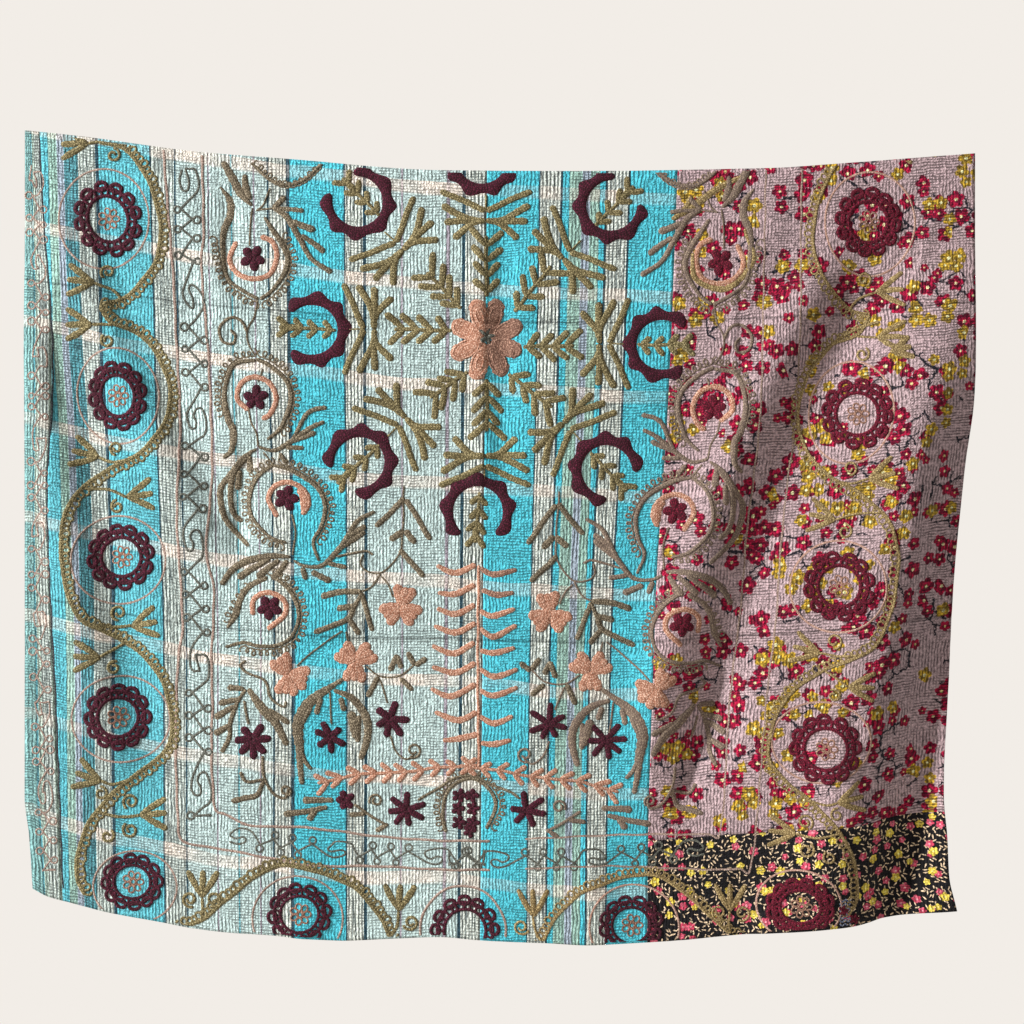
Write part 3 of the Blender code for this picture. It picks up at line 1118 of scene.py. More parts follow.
@dataclass(frozen=True)
class Thread:
    """Soft cotton or silk thread, worked in rows of chain stitch.

    The crowns of the links are painted lighter and the furrows between them darker: painted
    highlight and painted shade.
    Real chains are 2 to 3 mm wide; they are drawn 5 mm wide to show in the render.
    """

    name: str
    colour: str
    # dark and light: painted shade in the furrows and painted highlight on the crowns
    dark: str
    light: str
    chain: float = 5.2 * MM
    link: float = 6.5 * MM
    stray: float = 6.66667 * MM  # length over which the stitches stray
    fuzz: float = 3.84615 * MM  # size of the tufts
    worn: float = 111.111 * MM  # size of the paler and darker stretches
    uneven: tuple = (1.4, 2.0)  # by how many rows and links the stitches stray
    point: float = 1.1  # by how many links the sides of a link run ahead, for each row
    ages: tuple = (0.82, 1.14)  # brightness of the darkest and palest stretches
    surface: tuple = (0.78, 1.2 * MM, 0.12)  # roughness, depth of the relief, sheen of the nap

    def material(self) -> bpy.types.Material:
        """Builds the material.

        Returns:
            The thread.
        """
        tree = Shades(bpy.data.materials.new(self.name))
        place = tree.add("UVMap", uv_map="stitch")
        parts = tree.add("SeparateXYZ", place).node
        where = tree.add("TexCoord", out="Object")
        stray = tree.add("TexNoise", where, 1 / self.stray, 2.0)
        rows = tree.add("Math MULTIPLY", parts.outputs[0], 1 / self.chain)
        rows = tree.add("Math MULTIPLY_ADD", stray, self.uneven[0], rows)
        rows = tree.add("Math FRACT", rows)
        rows = tree.add("Math SUBTRACT", rows, 0.5)
        rows = tree.add("Math ABSOLUTE", rows)
        link = tree.add("Math MULTIPLY", parts.outputs[1], 1 / self.link)
        link = tree.add("Math MULTIPLY_ADD", stray, self.uneven[1], link)
        link = tree.add("Math MULTIPLY_ADD", rows, self.point, link)
        link = tree.add("Math MULTIPLY", link, 2 * pi)
        link = tree.add("Math COSINE", link)
        link = tree.add("MapRange", link, -1.0)
        furrow = tree.add("MapRange", rows, 0.5, 0.25)
        fuzz = tree.add("TexNoise", where, 1 / self.fuzz, 2.0)
        fuzz = tree.add("MapRange", fuzz, 0.3, 0.7)
        relief = tree.add("Math MULTIPLY", link, furrow)
        relief = tree.add("Math MULTIPLY", relief, 0.5)
        relief = tree.add("Math MULTIPLY_ADD", fuzz, 0.5, relief)
        # Painted shade in the furrows and painted highlight on the crowns, with the fuzz's random
        # tone
        colour = tree.add(
            "Mix", relief, linear(self.dark), linear(self.colour), data_type="RGBA"
        )
        painted_highlight = tree.add("MapRange", relief, 0.42, 0.85, 0.0, 0.9)
        colour = tree.add("Mix", painted_highlight, colour, linear(self.light), data_type="RGBA")
        wear = tree.add("TexNoise", where, 1 / self.worn, 3.0)
        wear = tree.add("MapRange", wear, 0.3, 0.7, *self.ages)
        colour = tree.add("VectorMath SCALE", colour, wear)
        return fabric(tree, colour, relief, *self.surface)


# Each thread: its colour, then its painted shade and its painted highlight
OLIVE = Thread("cotton thread, olive", "8C7D52", "453D26", "C6B688")
TAUPE = Thread("cotton thread, taupe", "82735E", "443B2C", "B8A98E")
DUSTY = Thread("cotton thread, dusty brown", "8A7666", "66564E", "B29E86")
TAN = Thread("cotton thread, tan", "A88E5C", "665336", "DCC48C")
PEACH = Thread("cotton thread, peach", "D69C80", "8C5842", "F4CEB6")
ROSE = Thread("cotton thread, rose", "B29688", "7A6258", "DEC8BA")
PALE_PEACH = Thread("cotton thread, pale peach", "D0A592", "A07868", "EACBBA")
# Rust for the rosettes; also the peach thread in painted shade, on the lobes and bars away from the
# light
RUST_AND_PEACH_SHADE = Thread("cotton thread, rust, and peach in painted shade", "A87C68", "6A4A3E", "CFA58E")
MAROON = Thread("silk thread, maroon", "48101F", "240610", "702440")
CRIMSON = Thread("silk thread, crimson", "680A24", "340411", "9A2040")
PALE_BLUE = Thread("cotton thread, pale blue", "97A2BC", "3E4A78", "D8DEE8")
GREY = Thread("cotton thread, grey", "686A60", "3E3E38", "96968A")
DARK = Thread("cotton thread, dark seam", "3A3D42", "1E2024", "5C6066")


STITCHED: list[bpy.types.Object] = []  # the finished needlework


class Needlework:
    """Chain stitch in one thread: strokes drawn flat, then laid on the hung cloth."""

    # Across a stroke: side from -1 to 1, and height as a share of its rise
    LANES = np.array([(-1, -0.15), (-0.7, 0.8), (0, 1), (0.7, 0.8), (1, -0.15)])
    THIN_LANES = np.array([(-1, -0.15), (0, 1), (1, -0.15)])
    THIN = 2.6  # width below which a stroke has the thin lanes
    STEP = 1.3  # from one row of a stroke to the next
    END_ROWS = (0.08, 0.35, 0.75)  # further rows in a round end, as shares of its radius
    TIP_RISE = 0.2  # share of the full rise at a stroke's tips
    SWAY, SWAY_TURN = 0.35, 0.16  # of a line sewn by hand: how far, and radians for each pixel
    SWELL, SWELL_TURN = 0.07, 0.8  # of its width: the share, and radians for each pixel
    OVERLAP, OVERLAPS = 0.02, 12  # rise added from stroke to stroke, and strokes till it restarts
    SEED_STEP = 31  # times the length of its name, the start of a piece's chance
    EDGE_MARGIN = 0.003  # of the drop, kept clear at the top and lower edges

    def __init__(
        self, name: str, thread: Thread, hand: Hand = Hand.LEFT, rise: float = 2.0,
        other: Thread | None = None,
    ) -> None:
        """Starts an empty piece of needlework.

        Args:
            name: The piece's name.
            thread: Its thread.
            hand: Where its motifs go.
            rise: Millimetres that the stitches stand above the cloth.
            other: The thread of the mirrored motifs, if it isn't the same.
        """
        self.name, self.thread, self.hand, self.rise = name, thread, hand, rise
        self.other = other
        self.bm = bmesh.new()
        self.dice = np.random.default_rng(len(name) * self.SEED_STEP)
        self.flat: list[np.ndarray] = []
        self.stitch: list[np.ndarray] = []

    def lay(self, path: np.ndarray, left: np.ndarray, right: np.ndarray, lift: np.ndarray) -> None:
        """Lays one domed stroke along a path, on the hands that the piece has.

        Args:
            path: Rows of (x, y).
            left: Half widths on the left of the path.
            right: Half widths on its right.
            lift: Share of the full rise at each row.
        """
        if self.hand is not Hand.LEFT:
            self.lay_once(mirrored(path), right, left, lift, int(self.other is not None))
        if self.hand is not Hand.RIGHT:
            self.lay_once(path, left, right, lift)

    def lay_once(
        self, path: np.ndarray, left: np.ndarray, right: np.ndarray, lift: np.ndarray,
        thread: int = 0,
    ) -> None:
        """Lays one domed stroke along a path.

        Args:
            path: Rows of (x, y).
            left: Half widths on the left of the path.
            right: Half widths on its right.
            lift: Share of the full rise at each row.
            thread: Which of the piece's threads it takes.
        """
        wide = max(left.max(), right.max()) * 2
        lanes = self.THIN_LANES if wide < self.THIN else self.LANES
        rows, cells = len(path) - 1, len(lanes) - 1
        across = headings(path)[1]
        steps = np.linalg.norm(np.diff(path, axis=0), axis=1)
        along = np.concatenate([[0.0], np.cumsum(steps)])
        made = bmesh.ops.create_grid(self.bm, x_segments=rows, y_segments=cells, size=0.5)
        share = np.array([v.co[:2] for v in made["verts"]]) + 0.5
        for v in made["verts"]:
            for face in v.link_faces:
                face.material_index = thread
        row = np.rint(share[:, 0] * rows).astype(int)
        side, height = lanes[np.rint(share[:, 1] * cells).astype(int)].T
        gap = side * np.where(side < 0, left[row], right[row])
        # Later strokes lie a little over earlier ones, as stitches do
        over = 1 + self.OVERLAP * (len(self.flat) % self.OVERLAPS)
        place = path[row] + across[row] * gap[:, None]
        self.flat.append(np.column_stack([place, height * lift[row] * over]))
        self.stitch.append(np.column_stack([gap, along[row]]) * PIXEL)

    def line(
        self, width: float | Sequence[float], *points: float, closed: bool = False
    ) -> None:
        """Stitches a line with round ends.

        Args:
            width: Its width, or its widths at even steps along.
            points: The places that it runs through, as x, y, x, y and so on.
            closed: Whether it returns to its start.
        """
        rows, along = trail(np.reshape(points, (-1, 2)), closed)
        widths = np.atleast_1d(np.asarray(width, float))
        length = along[-1]
        at = np.linspace(0, length, max(2, round(length / self.STEP)) + 1)
        cap = np.ones(len(at))
        if not closed:
            first, last = (min(w / 2, length / 2) for w in widths[[0, -1]])
            near = np.array(self.END_ROWS)
            at = np.unique(np.concatenate([at, near * first, length - near * last]))
            for gap in (at / first, (length - at) / last):
                gap = 1 - np.clip(gap, 0, 1)
                cap = np.sqrt(np.clip(1 - gap * gap, 0, 1)) * (cap if len(cap) == len(at) else 1)
        path = np.stack([np.interp(at, along, rows[:, i]) for i in (0, 1)], -1)
        phase = self.dice.uniform(0, 6, 2)
        sway = 0.0 if closed else self.SWAY * np.sin(at * self.SWAY_TURN + phase[0])
        path = path + headings(path)[1] * np.atleast_1d(sway * cap)[:, None]
        half = np.interp(at / length, np.linspace(0, 1, len(widths)), widths) / 2
        half = half * cap * (1 + self.SWELL * np.sin(at * self.SWELL_TURN + phase[1]))
        self.lay(path, half, half, self.TIP_RISE + (1 - self.TIP_RISE) * cap)

    def lines(self, rows: Sequence, *width: float) -> "Needlework":
        """Stitches lines.

        Args:
            rows: For each its width or widths, unless one is given for all, then its points.
            *width: One width for all.

        Returns:
            The needlework itself.
        """
        for row in rows:
            self.line(*width, *row)
        return self

    def loops(
        self, width: float, radius: float, pitch: float, *points: float, side: int = 1,
        closed: bool = False,
    ) -> None:
        """Stitches a chain of small loops beside a line.

        Args:
            width: Width of the stitching.
            radius: Radius of a loop.
            pitch: Distance from one loop to the next.
            points: The places that the line runs through.
            side: 1 for the loops on the right of the line, -1 for the left.
            closed: Whether the line returns to its start.
        """
        rows, along = trail(np.reshape(points, (-1, 2)), closed)
        count = max(1, round(along[-1] / pitch))
        turn = np.linspace(0, 2 * pi * count, count * 12 + 1)
        at = turn / turn[-1] * along[-1]
        base = np.stack([np.interp(at, along, rows[:, i]) for i in (0, 1)], -1)
        run, across = headings(base)
        size = radius * (1 + 0.14 * np.sin(at * 0.37 + self.dice.uniform(0, 6)))
        path = base + across * (side * size * (1 + np.cos(turn)))[:, None]
        path = path - run * (size * np.sin(turn))[:, None]
        half = np.full(len(path), width / 2)
        self.lay(path, half, half, np.full(len(path), 0.75))

    def flower(
        self, width: float, x: float, y: float, count: int, radius: float, turn: float = 0.0
    ) -> None:
        """Stitches a flower of round petals.

        Args:
            width: Width of a petal.
            x: Its middle across.
            y: Its middle down.
            count: How many petals it has.
            radius: Radius to the petals' tips.
            turn: Degrees by which it is turned.
        """
        for k in range(count):
            angle = radians(turn + 360 * k / count + self.dice.uniform(-6, 6))
            reach = radius * self.dice.uniform(0.94, 1.06)
            tip = (x + reach * cos(angle), y + reach * sin(angle))
            self.line((width * 0.62, width, width), x, y, *tip)

    def fern(
        self, width: float, pairs: int, leaf: float, spread: float, *points: float,
        grow: float = 0.3,
    ) -> None:
        """Stitches a stem with paired leaves that point to its end.

        Args:
            width: Width of a leaf.
            pairs: How many pairs of leaves it has.
            leaf: Length of a leaf.
            spread: Degrees between a leaf and the stem.
            points: The places that the stem runs through.
            grow: How much longer the last leaves are than the first, as a share.
        """
        self.line(width * 0.6, *points)
        rows, along = trail(np.reshape(points, (-1, 2)))
        run = headings(rows)[0]
        for k in range(pairs):
            share = (k + 0.25) / pairs
            i = int(np.searchsorted(along, share * along[-1]))
            heading = np.arctan2(run[i, 1], run[i, 0])
            for side in (-1, 1):
                angle = heading + side * radians(spread + self.dice.uniform(-7, 7))
                reach = leaf * (1 + grow * (share - 0.5)) * self.dice.uniform(0.88, 1.1)
                tip = rows[i] + reach * np.array([cos(angle), sin(angle)])
                self.line((width * 0.75, width, width), *rows[i], *tip)

    def bud(
        self, x: float, y: float, heading: float, size: float = 31.0, spread: float = 30.0,
        widths: tuple = (3.4, 6.5, 8.0, 6.0),
    ) -> None:
        """Stitches three petals that fan out from a point, as a tulip bud does.

        Args:
            x: Its base across.
            y: Its base down.
            heading: Degrees clockwise from the right in which it points.
            size: Its length.
            spread: Degrees between the petals.
            widths: The petals' widths along them.
        """
        for lean, share in ((-spread, 1.0), (spread, 1.0), (0, 0.88)):
            angle = radians(heading + lean)
            tip = (x + size * share * cos(angle), y + size * share * sin(angle))
            self.line(widths, x, y, *tip)

    def curl(
        self, width: float, x: float, y: float, radius: float, start: float, turns: float
    ) -> None:
        """Stitches a curl that winds inwards.

        Args:
            width: Width of the stitching.
            x: Its middle across.
            y: Its middle down.
            radius: Its outer radius.
            start: Degrees clockwise from the right at which it starts.
            turns: How many turns it makes, below zero for anticlockwise.
        """
        t = np.linspace(0, 1, round(14 * abs(turns)) + 4)
        angle = radians(start) + 2 * pi * turns * t
        reach = radius * (1 - 0.72 * t)
        points = np.stack([x + reach * np.cos(angle), y + reach * np.sin(angle)], -1)
        self.line(width, *points.ravel())

    def build(self) -> None:
        """Lays the strokes on the hung cloth and dresses them."""
        flat = np.vstack(self.flat)
        x, z = px(*flat.T[:2])
        top = SHAPE.edge(TOP_EDGE, x / MM) * MM
        share = (top - z) / (top - SHAPE.edge(LOWER_EDGE, x / MM) * MM)
        for v, place in zip(self.bm.verts, np.column_stack([x, share, flat[:, 2]])):
            v.co = place
        lay_flat_map(self.bm, "stitch", np.vstack(self.stitch))
        for edge, way in ((self.EDGE_MARGIN, -1), (1 - self.EDGE_MARGIN, 1)):
            parts = self.bm.verts[:] + self.bm.edges[:] + self.bm.faces[:]
            bmesh.ops.bisect_plane(
                self.bm, geom=parts, plane_co=(0, edge, 0), plane_no=(0, way, 0), clear_outer=True
            )
        across, down, lift = np.array([v.co[:] for v in self.bm.verts]).T
        SHAPE.hang(self.bm, across, down, lift * self.rise * MM)
        threads = [THREADS[thread.name] for thread in (self.thread, self.other) if thread]
        piece = finished(self.bm, self.name, *threads)
        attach(piece, "root")
        STITCHED.append(piece)
        log.info("needlework %s: %d faces", self.name, len(piece.data.polygons))


def ellipse(
    x: float, y: float, rx: float, ry: float, start: float = 0.0, end: float = 345.0,
    tilt: float = 0.0,
) -> np.ndarray:
    """Places points on an ellipse.

    Args:
        x: Its middle across.
        y: Its middle down.
        rx: Radius across.
        ry: Radius down.
        start: First angle, in degrees clockwise from the right.
        end: Last angle.
        tilt: Degrees by which the ellipse is turned.

    Returns:
        The places as x, y, x, y and so on.
    """
    angle = np.radians(np.linspace(start, end, max(3, round(abs(end - start) / 15) + 1)))
    side, down = rx * np.cos(angle), ry * np.sin(angle)
    turn = radians(tilt)
    across = x + side * cos(turn) - down * sin(turn)
    return np.stack([across, y + side * sin(turn) + down * cos(turn)], -1).ravel()


THREADS = {
    thread.name: thread.material()
    for thread in (
        OLIVE, TAUPE, DUSTY, TAN, PEACH, ROSE, PALE_PEACH, RUST_AND_PEACH_SHADE, MAROON, CRIMSON, PALE_BLUE, GREY,
        DARK,
    )
}


@dataclass
class Medallion:
    """The round middle: a flower, eight ferns, eight sheaves and eight crescents."""

    x: float = 487.0
    y: float = 340.0
    # Crescents: middle, direction of the opening and width of the opening in degrees
    crescents: tuple = (
        (358, 202, -131, 62), (313, 330, 177, 82), (360, 462, 134, 68), (478, 511, 90, 74),
        (606, 470, 47, 84), (661, 345, 4, 82), (611, 206, -43, 78), (482, 159, -90, 120),
    )
    crescent_radius: float = 29.5
    crescent_half: float = 5.2
    scallop: float = 5.0
    # Sprigs inside the crescents, from their base to their tip
    sprigs: tuple = (
        (380, 216, 342, 178), (336, 330, 279, 327), (381, 444, 337, 484), (480, 492, 475, 543),
        (590, 453, 627, 491), (637, 345, 690, 345), (595, 226, 634, 186),
    )
    # Sheaves: waist and outward direction
    sheaves: tuple = (
        (486, 221, -90), (403, 250, -135), (374, 329, 180), (406, 418, 135), (485, 456, 90),
        (563, 423, 45), (599, 344, 0), (563, 259, -45),
    )
    ferns: tuple = (
        (487, 297, 486, 236), (487, 379, 487, 432), (452, 331, 394, 329), (523, 347, 574, 346),
        (461, 309, 427, 272), (514, 312, 551, 266), (468, 372, 430, 398), (508, 374, 552, 408),
    )
    # Lobes of the flower: direction, length, and whether it is in the darker thread, the peach in
    # painted shade
    lobes: tuple = (
        (-107, 42, 0), (-75, 42.5, 1), (-25, 39, 1), (21, 37, 1), (64, 40, 1), (107, 42, 0),
        (156, 39.5, 0), (205, 39, 0),
    )

    def build(self) -> None:
        """Stitches the medallion."""
        bands = Needlework("crescents", MAROON, rise=2.6)
        for x, y, opening, gap in self.crescents:
            self.crescent(bands, x, y, opening, gap)
        bands.build()
        leaves = Needlework("crescent_sprigs", OLIVE)
        for x0, y0, x1, y1 in self.sprigs:
            leaves.fern(6.4, 4, 14.5, 42, x0, y0, x1, y1)
            leaves.line(7, (x0 + x1 * 2) / 3, (y0 + y1 * 2) / 3, x1, y1)
        leaves.build()
        leaves = Needlework("medallion_ferns", OLIVE)
        for row in self.ferns:
            leaves.fern(7.2, 4, 22, 44, *row)
        leaves.build()
        bundles = Needlework("sheaves", OLIVE, rise=2.3)
        for row in self.sheaves:
            self.sheaf(bundles, *row)
        bundles.build()
        # The lobes on the right take the peach in painted shade
        for dark, thread in enumerate((PEACH, RUST_AND_PEACH_SHADE)):
            heart = Needlework(f"medallion_flower_{dark}", thread, rise=2.6)
            for tilt, reach, shade in self.lobes:
                if shade == dark:
                    self.lobe(heart, tilt, reach)
            heart.build()
        heart = Needlework("medallion_hub", GREY, rise=3.0)
        heart.flower(5, self.x, self.y - 4, 5, 9.5)
        heart.build()

    def lobe(self, heart: Needlework, tilt: float, reach: float) -> None:
        """Stitches one lobe of the flower, with its grooves.

        Args:
            heart: The needlework.
            tilt: The lobe's direction in degrees.
            reach: Distance from the middle to its tip.
        """
        out = np.array([cos(radians(tilt)), sin(radians(tilt))])
        base, half, tip = ((self.x, self.y) + out * far for far in (4, reach * 0.58, reach))
        heart.line((11, 15, 19, 17.5), *base, *tip)
        for rx, ry in ((13.5, 7.8), (7.5, 3.4)):
            heart.line(2.8, *ellipse(*half, rx, ry, tilt=tilt), closed=True)

    def crescent(self, bands: Needlework, x: float, y: float, opening: float, gap: float) -> None:
        """Stitches a crescent with a scalloped outer edge.

        Args:
            bands: The needlework.
            x: Its middle across.
            y: Its middle down.
            opening: Direction of its opening in degrees.
            gap: Width of its opening in degrees.
        """
        angle = np.radians(np.linspace(opening + gap / 2, opening + 360 - gap / 2, 90))
        share = np.linspace(0, 1, len(angle))
        reach = self.crescent_radius
        path = np.stack([x + reach * np.cos(angle), y + reach * np.sin(angle)], -1)
        ends = np.minimum(share, 1 - share)
        cap = np.sqrt(np.clip(1 - (1 - np.clip(ends / 0.035, 0, 1)) ** 2, 0, 1))
        taper = 0.72 + 0.28 * np.clip(ends / 0.2, 0, 1)
        bumps = round((360 - gap) / 40)
        wave = (0.5 - 0.5 * np.cos(2 * pi * bumps * share + 0.4 * np.sin(share * 17))) ** 1.25
        inner = self.crescent_half * cap * taper
        lift = bands.TIP_RISE + (1 - bands.TIP_RISE) * cap
        bands.lay(path, inner + self.scallop * wave * cap, inner, lift)

    @staticmethod
    def sheaf(bundles: Needlework, x: float, y: float, outward: float) -> None:
        """Stitches a bundle tied at its waist, fanning out at both ends, and the V outside it.

        Args:
            bundles: The needlework.
            x: Its waist across.
            y: Its waist down.
            outward: Direction away from the medallion's middle in degrees.
        """
        out = radians(outward)
        apex = (x + 10 * cos(out), y + 10 * sin(out))
        for side in (-1, 1):
            along = outward + 90 * side
            for lean, reach in ((20, 47), (-1, 42), (-30, 37)):
                angle = radians(along - side * lean)
                bend = radians(along - side * lean * 0.35)
                half = (x + reach * 0.4 * cos(bend), y + reach * 0.4 * sin(bend))
                tip = (x + reach * cos(angle), y + reach * sin(angle))
                bundles.line((5.5, 7, 7.8), x, y, *half, *tip)
            angle = radians(along - side * 24)
            bundles.line(6.6, *apex, apex[0] + 50 * cos(angle), apex[1] + 50 * sin(angle))
        bundles.line(2, *apex, x + 26 * cos(out), y + 26 * sin(out))


@dataclass
class RingFlowers:
    """Lace rings down the sides and along the hem, each in a thin circle round a rosette."""

    # Middle, outer radius across and down, tilt
    rings: tuple = (
        (108, 219, 34.5, 40.5, -20), (118, 396, 30, 36, -12), (121, 557, 35, 34, 0),
        (118, 717, 34, 34, 0), (132, 882, 32, 29, 0, 0.8), (300, 913, 33, 32, 0, 0.8),
    )
    # Middle, radius across and down, tilt
    circles: tuple = (
        (104, 219, 45, 50, 0), (118, 396, 41, 48, -10), (119, 560, 47, 44, 0),
        (121, 719, 49, 43, 0), (135, 887, 42, 36, 0), (298, 918, 45, 43, 0),
    )
    middle_ring: tuple = (465, 930, 36, 37, 0, 0.85)
    right_rings: tuple = (
        (868, 222, 34, 36, 0), (857, 414, 36, 37, 0), (838, 586, 36, 36, 0), (824, 748, 37, 36, 0),
        (799, 905, 35, 29, 0),
    )
    right_middle: tuple = (631, 925, 33, 31, 0, 0.8)

    def build(self) -> None:
        """Stitches the rings, circles and rosettes of both sides."""
        on_stripes = self.rings + (self.middle_ring, self.right_middle)
        for name, thread, rise, rows in (
            ("lace_rings", MAROON, 2.4, on_stripes),
            ("lace_rings_on_print", CRIMSON, 2.6, self.right_rings),
        ):
            lace = Needlework(name, thread, rise=rise)
            for row in rows:
                self.ring(lace, *row)
            lace.build()
        thin = Needlework("thin_circles", ROSE, Hand.BOTH, 1.4, PALE_PEACH)
        for row in self.circles:
            thin.line(2.3, *ellipse(*row[:4], tilt=row[4]), closed=True)
        thin.build()
        arc = ellipse(463, 932, 43, 47, 170, 365)
        Needlework("middle_circle", ROSE, rise=1.4).lines([arc], 2.6).build()
        heart = Needlework("rosettes", RUST_AND_PEACH_SHADE, rise=1.6)
        for x, y, *_ in self.rings + (self.right_middle,) + self.right_rings:
            for k in range(7):
                middle = (x + 1 + 7.0 * cos(k * pi / 3.5), y + 7.4 * sin(k * pi / 3.5))
                heart.line(2.0, *ellipse(*middle, 3.6, 2.8, tilt=k * 50), closed=True)
            heart.line(2.2, *ellipse(x + 1, y, 2.6, 2.8), closed=True)
        heart.build()

    @staticmethod
    def ring(
        lace: Needlework, x: float, y: float, rx: float, ry: float, tilt: float, full: float = 1
    ) -> None:
        """Stitches one ring: two lines with eyelets between, and twelve scallops with one each.

        Args:
            lace: The needlework.
            x: Its middle across.
            y: Its middle down.
            rx: Outer radius across.
            ry: Outer radius down.
            tilt: Degrees by which it is turned.
            full: Share of the usual width of its stitching.
        """

        def at(share: float, angle: float) -> np.ndarray:
            """The place at a share of the radius, in a direction."""
            return ellipse(x, y, rx * share, ry * share, angle, angle, tilt)[:2]

        for share, width in ((0.58, 4.2), (0.77, 4.4)):
            loop = ellipse(x, y, rx * share, ry * share, tilt=tilt)
            lace.line(width * full, *loop, closed=True)
        turn = lace.dice.uniform(0, 30)
        for angle in np.arange(turn, turn + 359, 15):
            lace.line(3.2 * full, *at(0.58, angle), *at(0.78, angle + lace.dice.uniform(-4, 4)))
        for angle in np.arange(turn, turn + 359, 30) + lace.dice.uniform(-2.5, 2.5, 12):
            middle = at(0.825, angle)
            size = lace.dice.uniform(0.92, 1.12)
            loop = ellipse(*middle, 3.8 * size, 5.4, tilt=tilt + angle)
            lace.line(4.7 * full, *loop, closed=True)


@dataclass
class BorderVines:
    """Vines of a solid line and a beaded chain that wind past the rings, with buds and curls."""

    side: tuple = (
        (98, 142, 124, 149, 147, 178, 160, 221, 157, 257, 140, 283, 121, 299, 103, 304),
        (101, 304, 111, 322, 140, 335, 160, 361, 170, 394, 163, 426, 140, 453, 108, 469,
         78, 492, 65, 518, 62, 540, 65, 579, 78, 615, 101, 630, 124, 642, 147, 660, 163, 683,
         171, 713, 170, 742, 153, 762, 131, 778, 108, 798, 88, 824, 78, 853, 77, 879, 85, 895),
    )
    hem: tuple = (
        (180, 927, 192, 924, 206, 917, 220, 905, 239, 889, 259, 874, 279, 865, 299, 866, 318, 871,
         338, 879, 354, 887, 368, 901, 380, 917, 390, 937),
    )
    # Base and direction
    buds: tuple = (
        (88, 143, 178), (95, 283, 186), (93, 325, 181), (98, 457, 195), (127, 497, -8),
        (131, 626, -10), (101, 657, 182), (101, 781, 198), (140, 815, -4), (203, 897, -90),
        (399, 911, -88),
    )
    stems: tuple = (
        (95, 283, 112, 290, 121, 299), (93, 325, 104, 325, 113, 325), (98, 457, 112, 462, 124, 461),
        (127, 497, 108, 490, 84, 488), (131, 626, 112, 627, 94, 625),
        (101, 657, 112, 650, 124, 643), (101, 781, 112, 784, 128, 780),
        (140, 815, 118, 817, 97, 812), (203, 897, 203, 915), (399, 911, 397, 925, 390, 937),
        (88, 143, 100, 142),
    )
    # Middle, radius, start and turns
    curls: tuple = (
        (108, 272, 7, 120, 1.3), (108, 341, 7, -120, -1.3), (116, 448, 7, 90, 1.3),
        (117, 507, 7, -90, -1.3), (118, 613, 8, 90, 1.3), (114, 668, 7, -60, -1.2),
        (101, 793, 7, -100, 1.2), (131, 802, 8, 120, 1.4), (130, 830, 8, -120, -1.4),
        (107, 836, 7, -60, 1.2), (190, 899, 8, 60, 1.4), (214, 899, 8, 120, -1.4),
        (411, 922, 8, 160, -1.4), (113, 155, 7, -90, 1.3),
    )

    def build(self) -> None:
        """Stitches the vines of both sides."""
        for name, thread, hand, full in (
            ("left", OLIVE, Hand.LEFT, 1.0), ("right", TAN, Hand.RIGHT, 0.78)
        ):
            vine = Needlework(f"border_vine_{name}", thread, hand)
            for row in self.side + self.hem:
                vine.line(4.2 * full, *row)
                vine.loops(2.7 * full, 3.9, 5.6, *row, side=-1)
            vine.lines(self.stems, 3.3 * full).build()
            buds = Needlework(f"buds_and_curls_{name}", thread, hand)
            for row in self.buds:
                buds.bud(*row, widths=(3.4, 6.2, 7.4 * full, 5.5 * full))
            for row in self.curls:
                buds.curl(3.2 * full, *row)
            buds.build()


